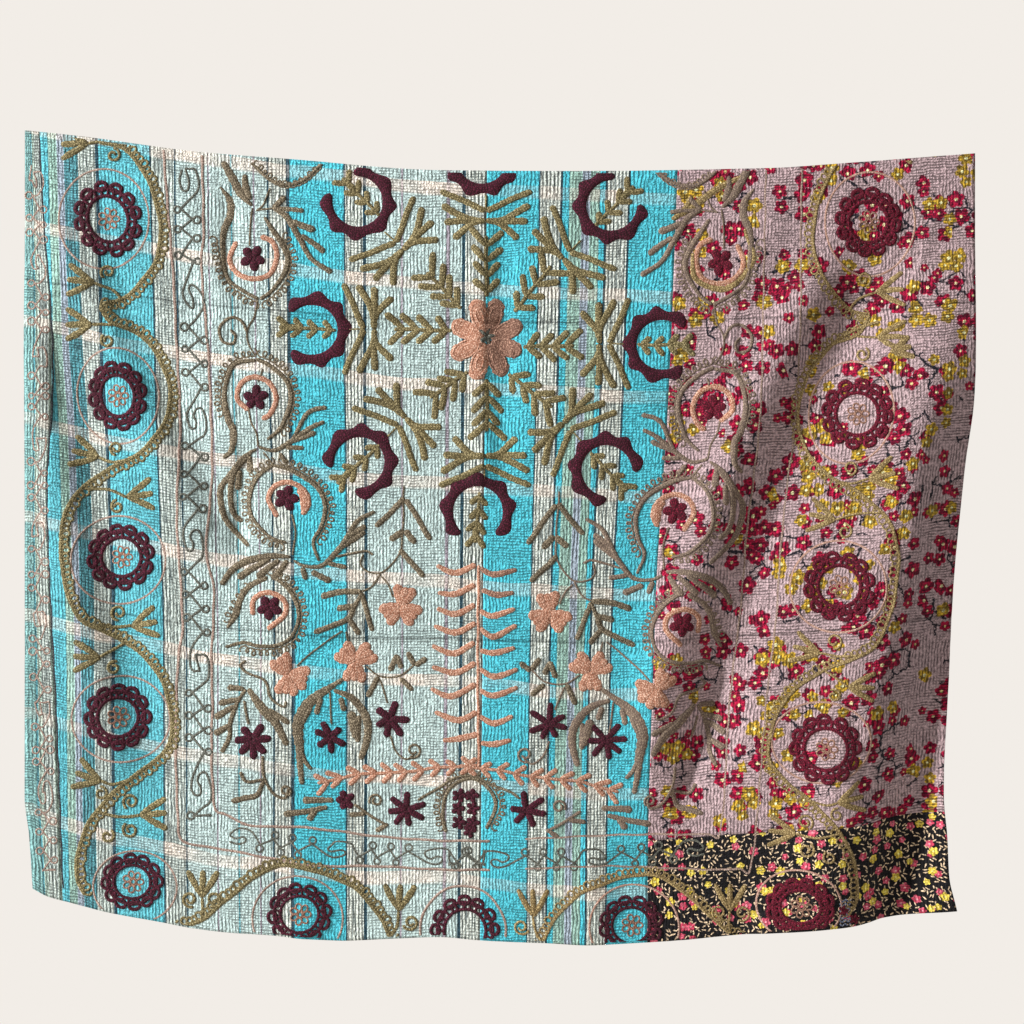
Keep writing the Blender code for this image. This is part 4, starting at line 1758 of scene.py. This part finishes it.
@dataclass
class Borders:
    """Thin lines and looped scrolls that frame the field, and the seams' stitching."""

    scroll_side: tuple = (
        188, 139, 188, 255, 194, 320, 195, 409, 194, 480, 193, 550, 198, 640, 199, 730, 201, 815,
    )
    scroll_hem: tuple = (212, 834, 250, 838, 300, 846, 350, 851, 420, 856, 484, 858)
    rose: tuple = (
        (163, 146, 173, 270, 176, 329, 180, 426, 178, 520, 181, 579, 183, 628, 178, 667, 176, 749,
         178, 814, 180, 836, 192, 844, 220, 848, 275, 858, 318, 865, 378, 866, 437, 869, 490, 869),
        (202, 155, 204, 231, 202, 270, 209, 361, 212, 459, 209, 520, 207, 553, 214, 585, 214, 618,
         212, 657, 213, 700, 212, 745, 213, 780, 216, 808, 226, 814, 253, 825, 295, 826, 334, 830,
         378, 836, 437, 840, 490, 840),
    )
    strip_scroll: tuple = (35, 150, 37, 240, 40, 330, 39, 450, 39, 600, 43, 750, 48, 870)
    strip_seam: tuple = (39, 138, 44, 225, 52, 315, 53, 400, 48, 490, 51, 600, 56, 700, 63, 888)
    # Between two runs of loops: distance along the base, then how far to the left of it
    swirl: tuple = (
        (20, 6), (32, 8.5), (41, 5), (43, 0), (37, -1), (28, 2), (22, -1), (24, -7), (34, -11),
        (46, -10), (56, -2),
    )
    swirl_length: float = 62.0
    run_of_loops: int = 6
    # On the printed side: the lines' inner and outer run
    print_lines: tuple = (
        (766, 168, 760, 395, 753, 480, 747, 530, 741, 610, 730, 705, 721, 826, 706, 834, 650, 834,
         596, 835, 525, 838),
        (802, 165, 797, 400, 788, 485, 781, 550, 776, 620, 766, 700, 752, 858, 738, 868, 700, 869,
         650, 867, 596, 865, 525, 868),
    )

    def build(self) -> None:
        """Stitches the frame."""
        for name, thread, hand, *sizes in (
            ("scroll_border", GREY, Hand.LEFT, 2.5, 1.0, self.scroll_side),
            ("hem_scroll", GREY, Hand.BOTH, 2.4, 0.8, self.scroll_hem),
            ("strip_scroll", ROSE, Hand.LEFT, 1.9, 0.72, self.strip_scroll),
        ):
            scroll = Needlework(name, thread, hand, 1.3)
            self.scroll(scroll, *sizes)
            scroll.build()
        for name, thread, rise, width, rows in (
            ("rose_lines", ROSE, 1.2, 2.8, self.rose),
            ("print_lines", ROSE, 1.2, 2.2, self.print_lines),
            ("strip_seam_stitches", DARK, 1.0, 2.0, (self.strip_seam,)),
        ):
            Needlework(name, thread, rise=rise).lines(rows, width).build()

    def scroll(self, work: Needlework, width: float, scale: float, base: tuple) -> None:
        """Stitches a zigzag line with a loop at each turn, and swirls between its runs.

        Args:
            work: The needlework.
            width: Width of the stitching.
            scale: Size of the turns and swirls.
            base: The places that the base line runs through.
        """
        rows, along = trail(np.reshape(base, (-1, 2)))
        across = headings(rows)[1]

        def spot(far: float, left: float) -> tuple[np.ndarray, int]:
            """The place at a distance along the base and to the left of it, and its row."""
            i = min(int(np.searchsorted(along, far)), len(rows) - 1)
            return rows[i] + across[i] * left * scale, i

        path, far = [], 0.0
        while far < along[-1]:
            path += [spot(far + step * scale, left)[0] for step, left in self.swirl]
            far += self.swirl_length * scale
            for k in range(self.run_of_loops):
                side = -1 if k % 2 else 1
                middle, i = spot(far, side * 9.8)
                start = np.degrees(np.arctan2(-across[i, 1] * side, -across[i, 0] * side))
                if far < along[-1]:
                    size = work.dice.uniform(3.0, 3.7)
                    path.append(ellipse(*middle, size, size, start, start + side * 330))
                    far += 12 * scale
            far -= 12 * scale
        work.line(width, *np.concatenate(path))


@dataclass
class Paisleys:
    """Two columns of rounded paisleys: a thick and beaded outline, an arc and a flower inside."""

    # Widths, then the line
    outlines: tuple = (
        ((2, 8, 8, 6, 5, 4, 4, 4), 220, 187, 230, 200, 230, 215, 225, 227, 223, 243, 224, 264, 230,
         281, 243, 291, 259, 299),
        ((3, 6, 6, 6, 4, 4), 265, 217, 273, 231, 283, 245, 288, 260, 283, 276, 273, 290, 260, 299),
        ((4, 5, 5, 7, 8, 4), 256, 360, 236, 364, 228, 376, 225, 395, 228, 419, 234, 431, 232, 449,
         223, 458),
        ((4, 5, 5, 6, 5, 3), 256, 359, 270, 366, 283, 376, 290, 389, 291, 404, 286, 418, 279, 430,
         268, 440),
        ((3, 4, 4, 4, 3), 273, 465, 257, 479, 250, 497, 253, 518, 268, 535, 287, 543),
        ((3, 6, 5, 5, 4, 3), 273, 465, 296, 472, 316, 486, 326, 506, 321, 527, 314, 542, 319, 561),
        ((3, 7, 7, 6, 5), 228, 628, 236, 614, 241, 599, 251, 585, 268, 577),
        ((4, 5, 4, 4, 4, 3), 276, 578, 291, 591, 298, 606, 298, 624, 291, 638, 276, 645, 258, 646,
         243, 642, 226, 647),
        ((3, 4, 4, 4), 251, 163, 268, 178, 286, 185, 303, 180, 323, 163),
    )
    # Side, then the line
    beads: tuple = (
        (1, 217, 238, 221, 262, 228, 282, 243, 295, 259, 303),
        (-1, 282, 236, 291, 258, 287, 278, 275, 294, 262, 303),
        (1, 256, 356, 235, 361, 225, 376, 221, 395, 224, 415),
        (-1, 258, 356, 272, 362, 286, 374, 293, 389, 294, 404, 289, 420, 281, 432),
        (1, 275, 463, 256, 476, 248, 497, 251, 520, 266, 537, 284, 544),
        (-1, 280, 464, 298, 469, 318, 484, 329, 506, 325, 526, 317, 541),
        (-1, 268, 574, 282, 579, 295, 592, 301, 607, 301, 624, 294, 640, 278, 648, 258, 649, 243,
         645),
        (-1, 230, 622, 238, 604, 250, 588), (-1, 253, 166, 270, 181, 286, 188, 305, 183, 322, 168),
    )
    arcs: tuple = (
        (236, 241, 230, 259, 238, 274, 253, 279, 270, 274, 277, 259, 273, 243, 261, 236),
        (249, 411, 238, 399, 242, 383, 255, 377, 270, 384, 277, 399, 270, 414, 262, 419),
        (278, 517, 269, 500, 275, 487, 289, 482, 303, 489, 309, 503, 303, 515),
        (253, 615, 255, 599, 269, 592, 284, 600, 285, 615, 268, 629),
    )
    arc_end: tuple = (((8, 12, 9), 299, 488, 306, 498, 305, 512),)
    # Middle, radius and turn
    flowers: tuple = (
        (253, 258, 12, 15), (256, 398, 12, 50), (287, 498, 11.5, 0), (270, 607, 11.5, 20),
    )
    stems: tuple = (
        (253, 208, 250, 226, 250, 246), (256, 211, 264, 204, 270, 188), (256, 211, 273, 208),
        (258, 300, 255, 316, 248, 328, 248, 341, 256, 357), (263, 369, 258, 382),
        (249, 407, 251, 422, 257, 434, 259, 447), (264, 452, 273, 465),
        (292, 514, 296, 534, 293, 555),
    )
    # Width, then the curl or wave
    tendrils: tuple = (
        (2.6, 337, 557, 352, 553, 366, 551, 373, 555),
        (3.2, 248, 333, 241, 321, 230, 318, 220, 328, 223, 341, 233, 344, 236, 336, 231, 330),
    )
    # Widths, then the leaf
    leaves: tuple = (
        ((6, 9, 9, 3), 223, 161, 231, 176, 240, 192, 252, 206),
        ((5, 8, 5), 245, 174, 246, 188, 250, 200), ((5, 7), 273, 208, 285, 196),
        (5, 273, 208, 304, 211),
        ((5, 7, 6, 5, 6), 273, 208, 288, 218, 299, 238, 313, 260, 332, 273),
        ((6, 8), 292, 221, 315, 231), ((5, 7), 301, 235, 325, 252),
        ((3, 5, 6, 4), 259, 447, 276, 450, 294, 440, 309, 429, 325, 422),
        ((4, 6), 290, 443, 316, 432), (5, 286, 447, 304, 448),
        ((4, 5, 5), 293, 440, 303, 420, 312, 411, 327, 407), (5, 280, 453, 287, 463),
        ((3, 6, 7, 6, 5), 257, 449, 242, 459, 230, 475, 220, 491, 223, 513, 235, 532, 249, 546),
        ((4, 7, 6, 6), 251, 452, 234, 474, 230, 495, 234, 514, 242, 522),
        ((5, 9), 250, 455, 250, 473), ((5, 8), 240, 470, 238, 490),
        ((3, 4, 6, 6, 5, 4), 294, 561, 305, 566, 323, 565, 337, 552, 348, 536, 359, 520, 375, 511),
        (6, 348, 536, 366, 526), (6, 341, 548, 365, 531), (5, 328, 563, 347, 567),
        ((6, 7), 312, 571, 331, 582), (6, 303, 567, 306, 580),
        ((3, 7, 8, 7, 6), 291, 557, 269, 556, 248, 561, 232, 570, 222, 585),
        ((5, 8), 270, 558, 238, 578), ((5, 8), 280, 560, 257, 577), ((5, 8), 288, 560, 273, 580),
    )

    def build(self) -> None:
        """Stitches both columns."""
        lines = Needlework("paisley_outlines", TAUPE, Hand.BOTH, 2.2, DUSTY)
        lines.lines(self.outlines).build()
        chains = Needlework("paisley_beads", TAUPE, Hand.BOTH, 2.0, DUSTY)
        for side, *points in self.beads:
            chains.loops(2.1, 3.1, 6.2, *points, side=side)
        chains.lines(self.stems, 2.2).lines(self.tendrils).build()
        leaves = Needlework("paisley_leaves", TAUPE, Hand.BOTH, 2.4, DUSTY)
        leaves.lines(self.leaves).build()
        arcs = Needlework("paisley_arcs", PEACH, Hand.BOTH)
        arcs.lines(self.arcs, 5.6).lines(self.arc_end).build()
        flowers = Needlework("paisley_flowers", MAROON, Hand.BOTH, 2.6, CRIMSON)
        for x, y, radius, turn in self.flowers:
            flowers.flower(9.4, x, y, 5, radius + 1.2, turn)
        flowers.build()


@dataclass
class PrintedSide:
    """On the mauve and black cloth: a darned patch, loose strokes and a bud."""

    patch: tuple = (838, 898, 852, 926)  # left, top, right, lower edge
    patch_flowers: tuple = ((842, 909), (854, 918))
    # Widths, then the stroke
    strokes: tuple = (
        ((4, 7, 8, 6), 745, 176, 722, 186, 702, 200, 679, 216),
        ((4, 7, 5), 692, 196, 684, 210, 672, 220),
        ((4, 6, 7, 6, 5, 4), 692, 253, 696, 279, 725, 289, 752, 263, 745, 229),
        ((3, 4, 3), 880, 321, 850, 332, 832, 346, 815, 365),
    )

    def build(self) -> None:
        """Stitches the patch and the strokes."""
        left, top, right, low = self.patch
        darn = Needlework("darned_patch", PALE_BLUE, rise=1.2)
        for y in np.arange(top, low, 3.4):
            points = [(x, y + 2.4 * (k % 2)) for k, x in enumerate(np.arange(left, right, 3.0))]
            darn.line(1.7, *np.ravel(points))
        darn.build()
        blooms = Needlework("patch_flowers", CRIMSON, rise=1.8)
        for x, y in self.patch_flowers:
            blooms.flower(4.2, x, y, 5, 5.6)
        blooms.build()
        strokes = Needlework("mauve_strokes", TAN).lines(self.strokes)
        strokes.bud(890, 352, -14, 24, 26, (3, 6, 7, 5))
        strokes.build()


@dataclass
class LowerField:
    """Below the medallion: a comb-shaped tree, chevron trees, flowers, stars and arches."""

    # Left bar, then right bar, each through its dip
    comb_bars: tuple = (
        (437, 565, 456, 573, 476, 564, 480, 568, 494, 574, 517, 570),
        (438, 592, 456, 594, 475, 584, 482, 589, 497, 595, 514, 592),
        (437, 608, 455, 614, 475, 604, 480, 610, 493, 616, 515, 608),
        (434, 626, 455, 632, 476, 623, 480, 628, 494, 636, 517, 625),
        (432, 646, 455, 653, 475, 642, 480, 650, 494, 653, 515, 647),
        (432, 667, 455, 672, 476, 663, 480, 669, 494, 676, 518, 669),
        (431, 688, 452, 696, 476, 683, 480, 690, 493, 695, 518, 687),
        (435, 711, 458, 720, 477, 711, 480, 716, 494, 723, 513, 715),
        (443, 740, 456, 739, 478, 733, 481, 742, 494, 744, 511, 739),
    )
    # Middle, then each petal's direction
    peach_flowers: tuple = (
        (401, 606, -74, 36, 148), (289, 674, -122, 14, 96), (356, 661, -142, -32, 94),
    )
    # A petal's width, the middle, then each petal's tip
    stars: tuple = (
        (7.2, 253, 739, 243, 726, 264, 724, 272, 738, 266, 753, 254, 759, 240, 753, 235, 740),
        (6.4, 331, 736, 323, 721, 341, 727, 346, 745, 332, 753, 318, 746, 315, 731),
        (7.0, 390, 718, 397, 701, 410, 720, 402, 736, 386, 737, 377, 726, 377, 708),
        (6.6, 345, 799, 342, 790, 355, 795, 353, 807, 343, 809, 336, 799),
        (6.0, 407, 809, 407, 791, 426, 803, 424, 819, 409, 826, 395, 824, 388, 811, 391, 797),
        (5.8, 549, 723, 551, 702, 565, 715, 567, 727, 556, 737, 541, 738, 529, 731, 530, 711),
        (5.8, 606, 740, 591, 725, 619, 723, 627, 738, 621, 752, 609, 759, 592, 755, 586, 740),
        (6.0, 526, 809, 523, 790, 544, 798, 546, 814, 534, 826, 515, 822, 510, 808),
    )
    clover: tuple = (
        (459, 795), (472, 795), (458, 808), (473, 808), (459, 822), (473, 822), (470, 830),
    )
    # Widths, then the stroke
    strokes: tuple = (
        (6, 405, 498, 376, 527), (6, 406, 499, 431, 540), (7, 404, 530, 390, 540),
        (7, 405, 530, 416, 543), (6, 400, 549, 424, 577), ((6, 7), 362, 591, 341, 592, 321, 596),
        (5.5, 361, 592, 373, 631), ((6, 7), 357, 606, 337, 608),
        ((3, 6, 6, 6), 363, 593, 354, 607, 346, 620, 314, 632), (6, 348, 618, 360, 634),
        (6, 397, 654, 390, 671), (6, 407, 652, 415, 664), (6, 427, 658, 415, 665),
        (6, 378, 676, 368, 697), (5.5, 400, 678, 413, 690), (6, 396, 655, 402, 668),
    )
    stems: tuple = (
        (404, 486, 403, 530, 401, 549, 392, 564, 381, 573, 368, 571, 361, 564, 363, 554),
        (381, 574, 372, 586, 362, 591), (382, 576, 388, 584, 393, 597),
        (343, 631, 320, 646, 297, 666), (346, 631, 348, 642),
        (415, 664, 401, 675, 380, 676, 366, 666), (380, 679, 388, 703), (340, 684, 350, 672),
        (330, 691, 332, 724), (391, 735, 396, 751, 406, 759, 415, 753),
    )
    arches: tuple = (
        ((3, 8, 12, 13, 10, 7, 5), 343, 678, 326, 690, 307, 705, 299, 725, 300, 749, 302, 784),
        ((4, 5, 4), 300, 745, 305, 759, 312, 769),
        ((4, 8, 9, 8, 6), 334, 690, 354, 699, 366, 717, 368, 737, 360, 759),
        (6, 322, 697, 316, 714), (6, 341, 697, 344, 711),
        ((8, 12, 8), 350, 711, 355, 724, 357, 739), ((5, 9, 5), 360, 715, 357, 729, 358, 742),
        ((4, 7), 303, 722, 311, 706),
    )
    tree: tuple = (
        ((3, 5, 5, 5), 247, 689, 237, 703, 231, 723, 230, 736, 222, 752),
        ((5, 7), 245, 689, 228, 687), ((5, 7), 240, 699, 219, 703), ((5, 8), 235, 706, 215, 717),
        ((5, 8), 230, 724, 215, 734), ((5, 10, 9, 6), 249, 688, 265, 711, 277, 723, 287, 745),
        (6, 268, 709, 290, 723), (3, 245, 700, 249, 724),
        ((3, 3, 2.5), 239, 664, 247, 672, 265, 680, 271, 697, 284, 706, 287, 701),
        (2.5, 240, 665, 246, 660), (3.2, 263, 755, 265, 777, 273, 792, 285, 797, 289, 789),
        ((3, 4), 265, 779, 248, 781, 241, 771), ((4, 6, 6), 265, 779, 258, 794, 245, 797, 232, 801),
        ((5, 8), 334, 799, 303, 800), ((5, 7), 328, 807, 284, 814), ((5, 8), 318, 807, 309, 820),
        (3.2, 354, 804, 366, 812, 385, 824), (5, 349, 814, 366, 813), ((4, 6), 388, 823, 376, 831),
    )
    curls: tuple = ((286, 790, 6, 60, -1.3), (414, 750, 8, 120, -1.3), (376, 800, 7, 150, 1.3))
    # Width, then the line
    clover_arch: tuple = (
        (3, 418, 800, 436, 789, 454, 778, 475, 776, 493, 785, 511, 791, 520, 798),
        (4, 446, 832, 443, 812, 446, 794, 459, 781, 475, 778, 491, 791, 496, 806, 486, 828),
    )
    arch_beads: tuple = (
        444, 828, 440, 810, 443, 794, 457, 778, 475, 775, 494, 789, 500, 806, 491, 826,
    )
    hem_vine: tuple = (478, 765, 440, 767, 400, 772, 360, 774, 318, 783)

    def build(self) -> None:
        """Stitches the lower field."""
        comb = Needlework("comb_tree", PEACH)
        comb.line(3.0, 479, 565, 478, 660, 479, 768)
        # The first two right bars take the peach in painted shade
        shaded = Needlework("comb_tree_shaded", RUST_AND_PEACH_SHADE)
        for k, bar in enumerate(self.comb_bars):
            comb.line((4.5, 7, 6), *bar[:6])
            (shaded if k < 2 else comb).line((5, 7, 4.5), *bar[6:])
        comb.build()
        shaded.build()
        flowers = Needlework("peach_flowers", PEACH, Hand.BOTH, 2.5)
        for x, y, *ways in self.peach_flowers:
            for way in ways:
                flowers.bud(x, y, way, 22.5, 24, (6, 10, 11.5, 9))
        flowers.build()
        leaves = Needlework("hem_leaf_vine", PEACH, Hand.BOTH)
        leaves.fern(5.6, 10, 15, 36, *self.hem_vine)
        leaves.build()
        stars = Needlework("stars", MAROON, rise=2.6)
        for width, x, y, *tips in self.stars:
            for tip in np.reshape(tips, (-1, 2)):
                stars.line((width, width * 1.15, width * 1.1), x, y, *tip)
        for x, y in self.clover:
            stars.flower(5.6, x, y, 5, 7.5)
        stars.build()
        Needlework("chevron_trees", TAUPE, Hand.BOTH, 2.3).lines(self.strokes).build()
        Needlework("arches", TAUPE, Hand.BOTH, 2.4, DUSTY).lines(self.arches).build()
        leaves = Needlework("lower_branches", TAUPE, Hand.BOTH, 2.2, DUSTY)
        leaves.lines(self.tree).lines(self.stems, 2.2)
        for row in self.curls:
            leaves.curl(2.6, *row)
        leaves.build()
        arch = Needlework("clover_arch", TAUPE).lines(self.clover_arch)
        arch.loops(2.0, 2.9, 5.6, *self.arch_beads, side=-1)
        arch.build()


# Stage, light and camera


@dataclass
class Studio:
    """Pale floor, soft light from the upper left and the camera of the photograph."""

    lens: float = 85.0  # millimetres, as the sensor
    sensor: float = 36.0
    floor_drop: float = 2.35  # metres below the middle of the top edge
    floor_radius: float = 1.5
    floor_sides: int = 96
    paint: str = "E6E1DA"  # of the floor, matt so that it only takes a soft shadow
    matt: float = 0.85
    backdrop: str = "F2EDE7"
    ambient: float = 0.32  # the backdrop's own light on the cloth
    # Name, place, watts and width in metres
    lamps: tuple = (
        ("key light", (-7.9, -4.0, 2.6), 1500.0, 1.3),
        ("fill light", (2.6, -4.4, 0.2), 14.0, 3.0),
        ("back light", (1.5, 4.0, 1.5), 70.0, 2.5),
    )

    def build(self) -> None:
        """Makes the floor, the lights, the world and the camera."""
        scene = bpy.context.scene
        scene.view_settings.view_transform = "Standard"
        self.floor()
        self.world(scene)
        for row in self.lamps:
            self.lamp(*row)

        middle = px(PHOTO_MIDDLE, PHOTO_MIDDLE)
        camera = bpy.data.objects.new("camera", bpy.data.cameras.new("camera"))
        scene.collection.objects.link(camera)
        camera.data.lens = self.lens
        camera.data.sensor_width = self.sensor
        half = atan(self.sensor / 2 / self.lens)
        away = PHOTO_SIDE * PIXEL / 2 / tan(half)
        camera.location = (middle[0], -away, middle[1])
        camera.rotation_euler = (radians(90), 0, 0)
        scene.camera = camera

    def floor(self) -> None:
        """Makes the round pale floor below the cloth."""
        bm = bmesh.new()
        bmesh.ops.create_circle(
            bm, cap_ends=True, segments=self.floor_sides, radius=self.floor_radius
        )
        bmesh.ops.translate(bm, verts=bm.verts[:], vec=(0, 0, -self.floor_drop))
        tree = Shades(bpy.data.materials.new("pale studio floor"))
        shader = tree.add("BsdfPrincipled", Base_Color=linear(self.paint), Roughness=self.matt)
        tree.add("OutputMaterial", Surface=shader)
        finished(bm, "floor", tree.owner)

    def world(self, scene: bpy.types.Scene) -> None:
        """Sets the plain backdrop, and its softer light on the cloth.

        Args:
            scene: The scene.
        """
        tree = Shades(bpy.data.worlds.new("plain backdrop"))
        scene.world = tree.owner
        seen = tree.add("LightPath", out="Is Camera Ray")
        soft, plain = (tree.add(
            "Background", Color=linear(self.backdrop), Strength=strength
        ) for strength in (self.ambient, 1.0))
        mix = tree.add("MixShader", seen, soft, plain)
        tree.add("OutputWorld", Surface=mix)

    def lamp(self, name: str, place: tuple, power: float, size: float) -> None:
        """Adds an area light aimed at the middle of the cloth.

        Args:
            name: Its name.
            place: Where it stands.
            power: Watts.
            size: Its width in metres.
        """
        light = bpy.data.lights.new(name, "AREA")
        light.energy = power
        light.size = size
        lamp = bpy.data.objects.new(name, light)
        bpy.context.scene.collection.objects.link(lamp)
        lamp.location = place
        aim = Vector((0, 0, -DROP / 2)) - lamp.location
        lamp.rotation_euler = aim.to_track_quat("-Z", "Y").to_euler()


def main() -> None:
    """Builds the quilt, then its stage."""
    logging.basicConfig(level=logging.INFO, format="%(name)s: %(message)s")
    for panel, node in zip(PANELS, NODES):
        panel.build(node)
    for group in (
        Medallion(), RingFlowers(), BorderVines(), Borders(), Paisleys(), PrintedSide(),
        LowerField(),
    ):
        group.build()
    for panel in PANELS:
        panel.declare(STITCHED, "mauve_cloth" if panel.first else "")
    Studio().build()


if __name__ == "__main__":
    main()
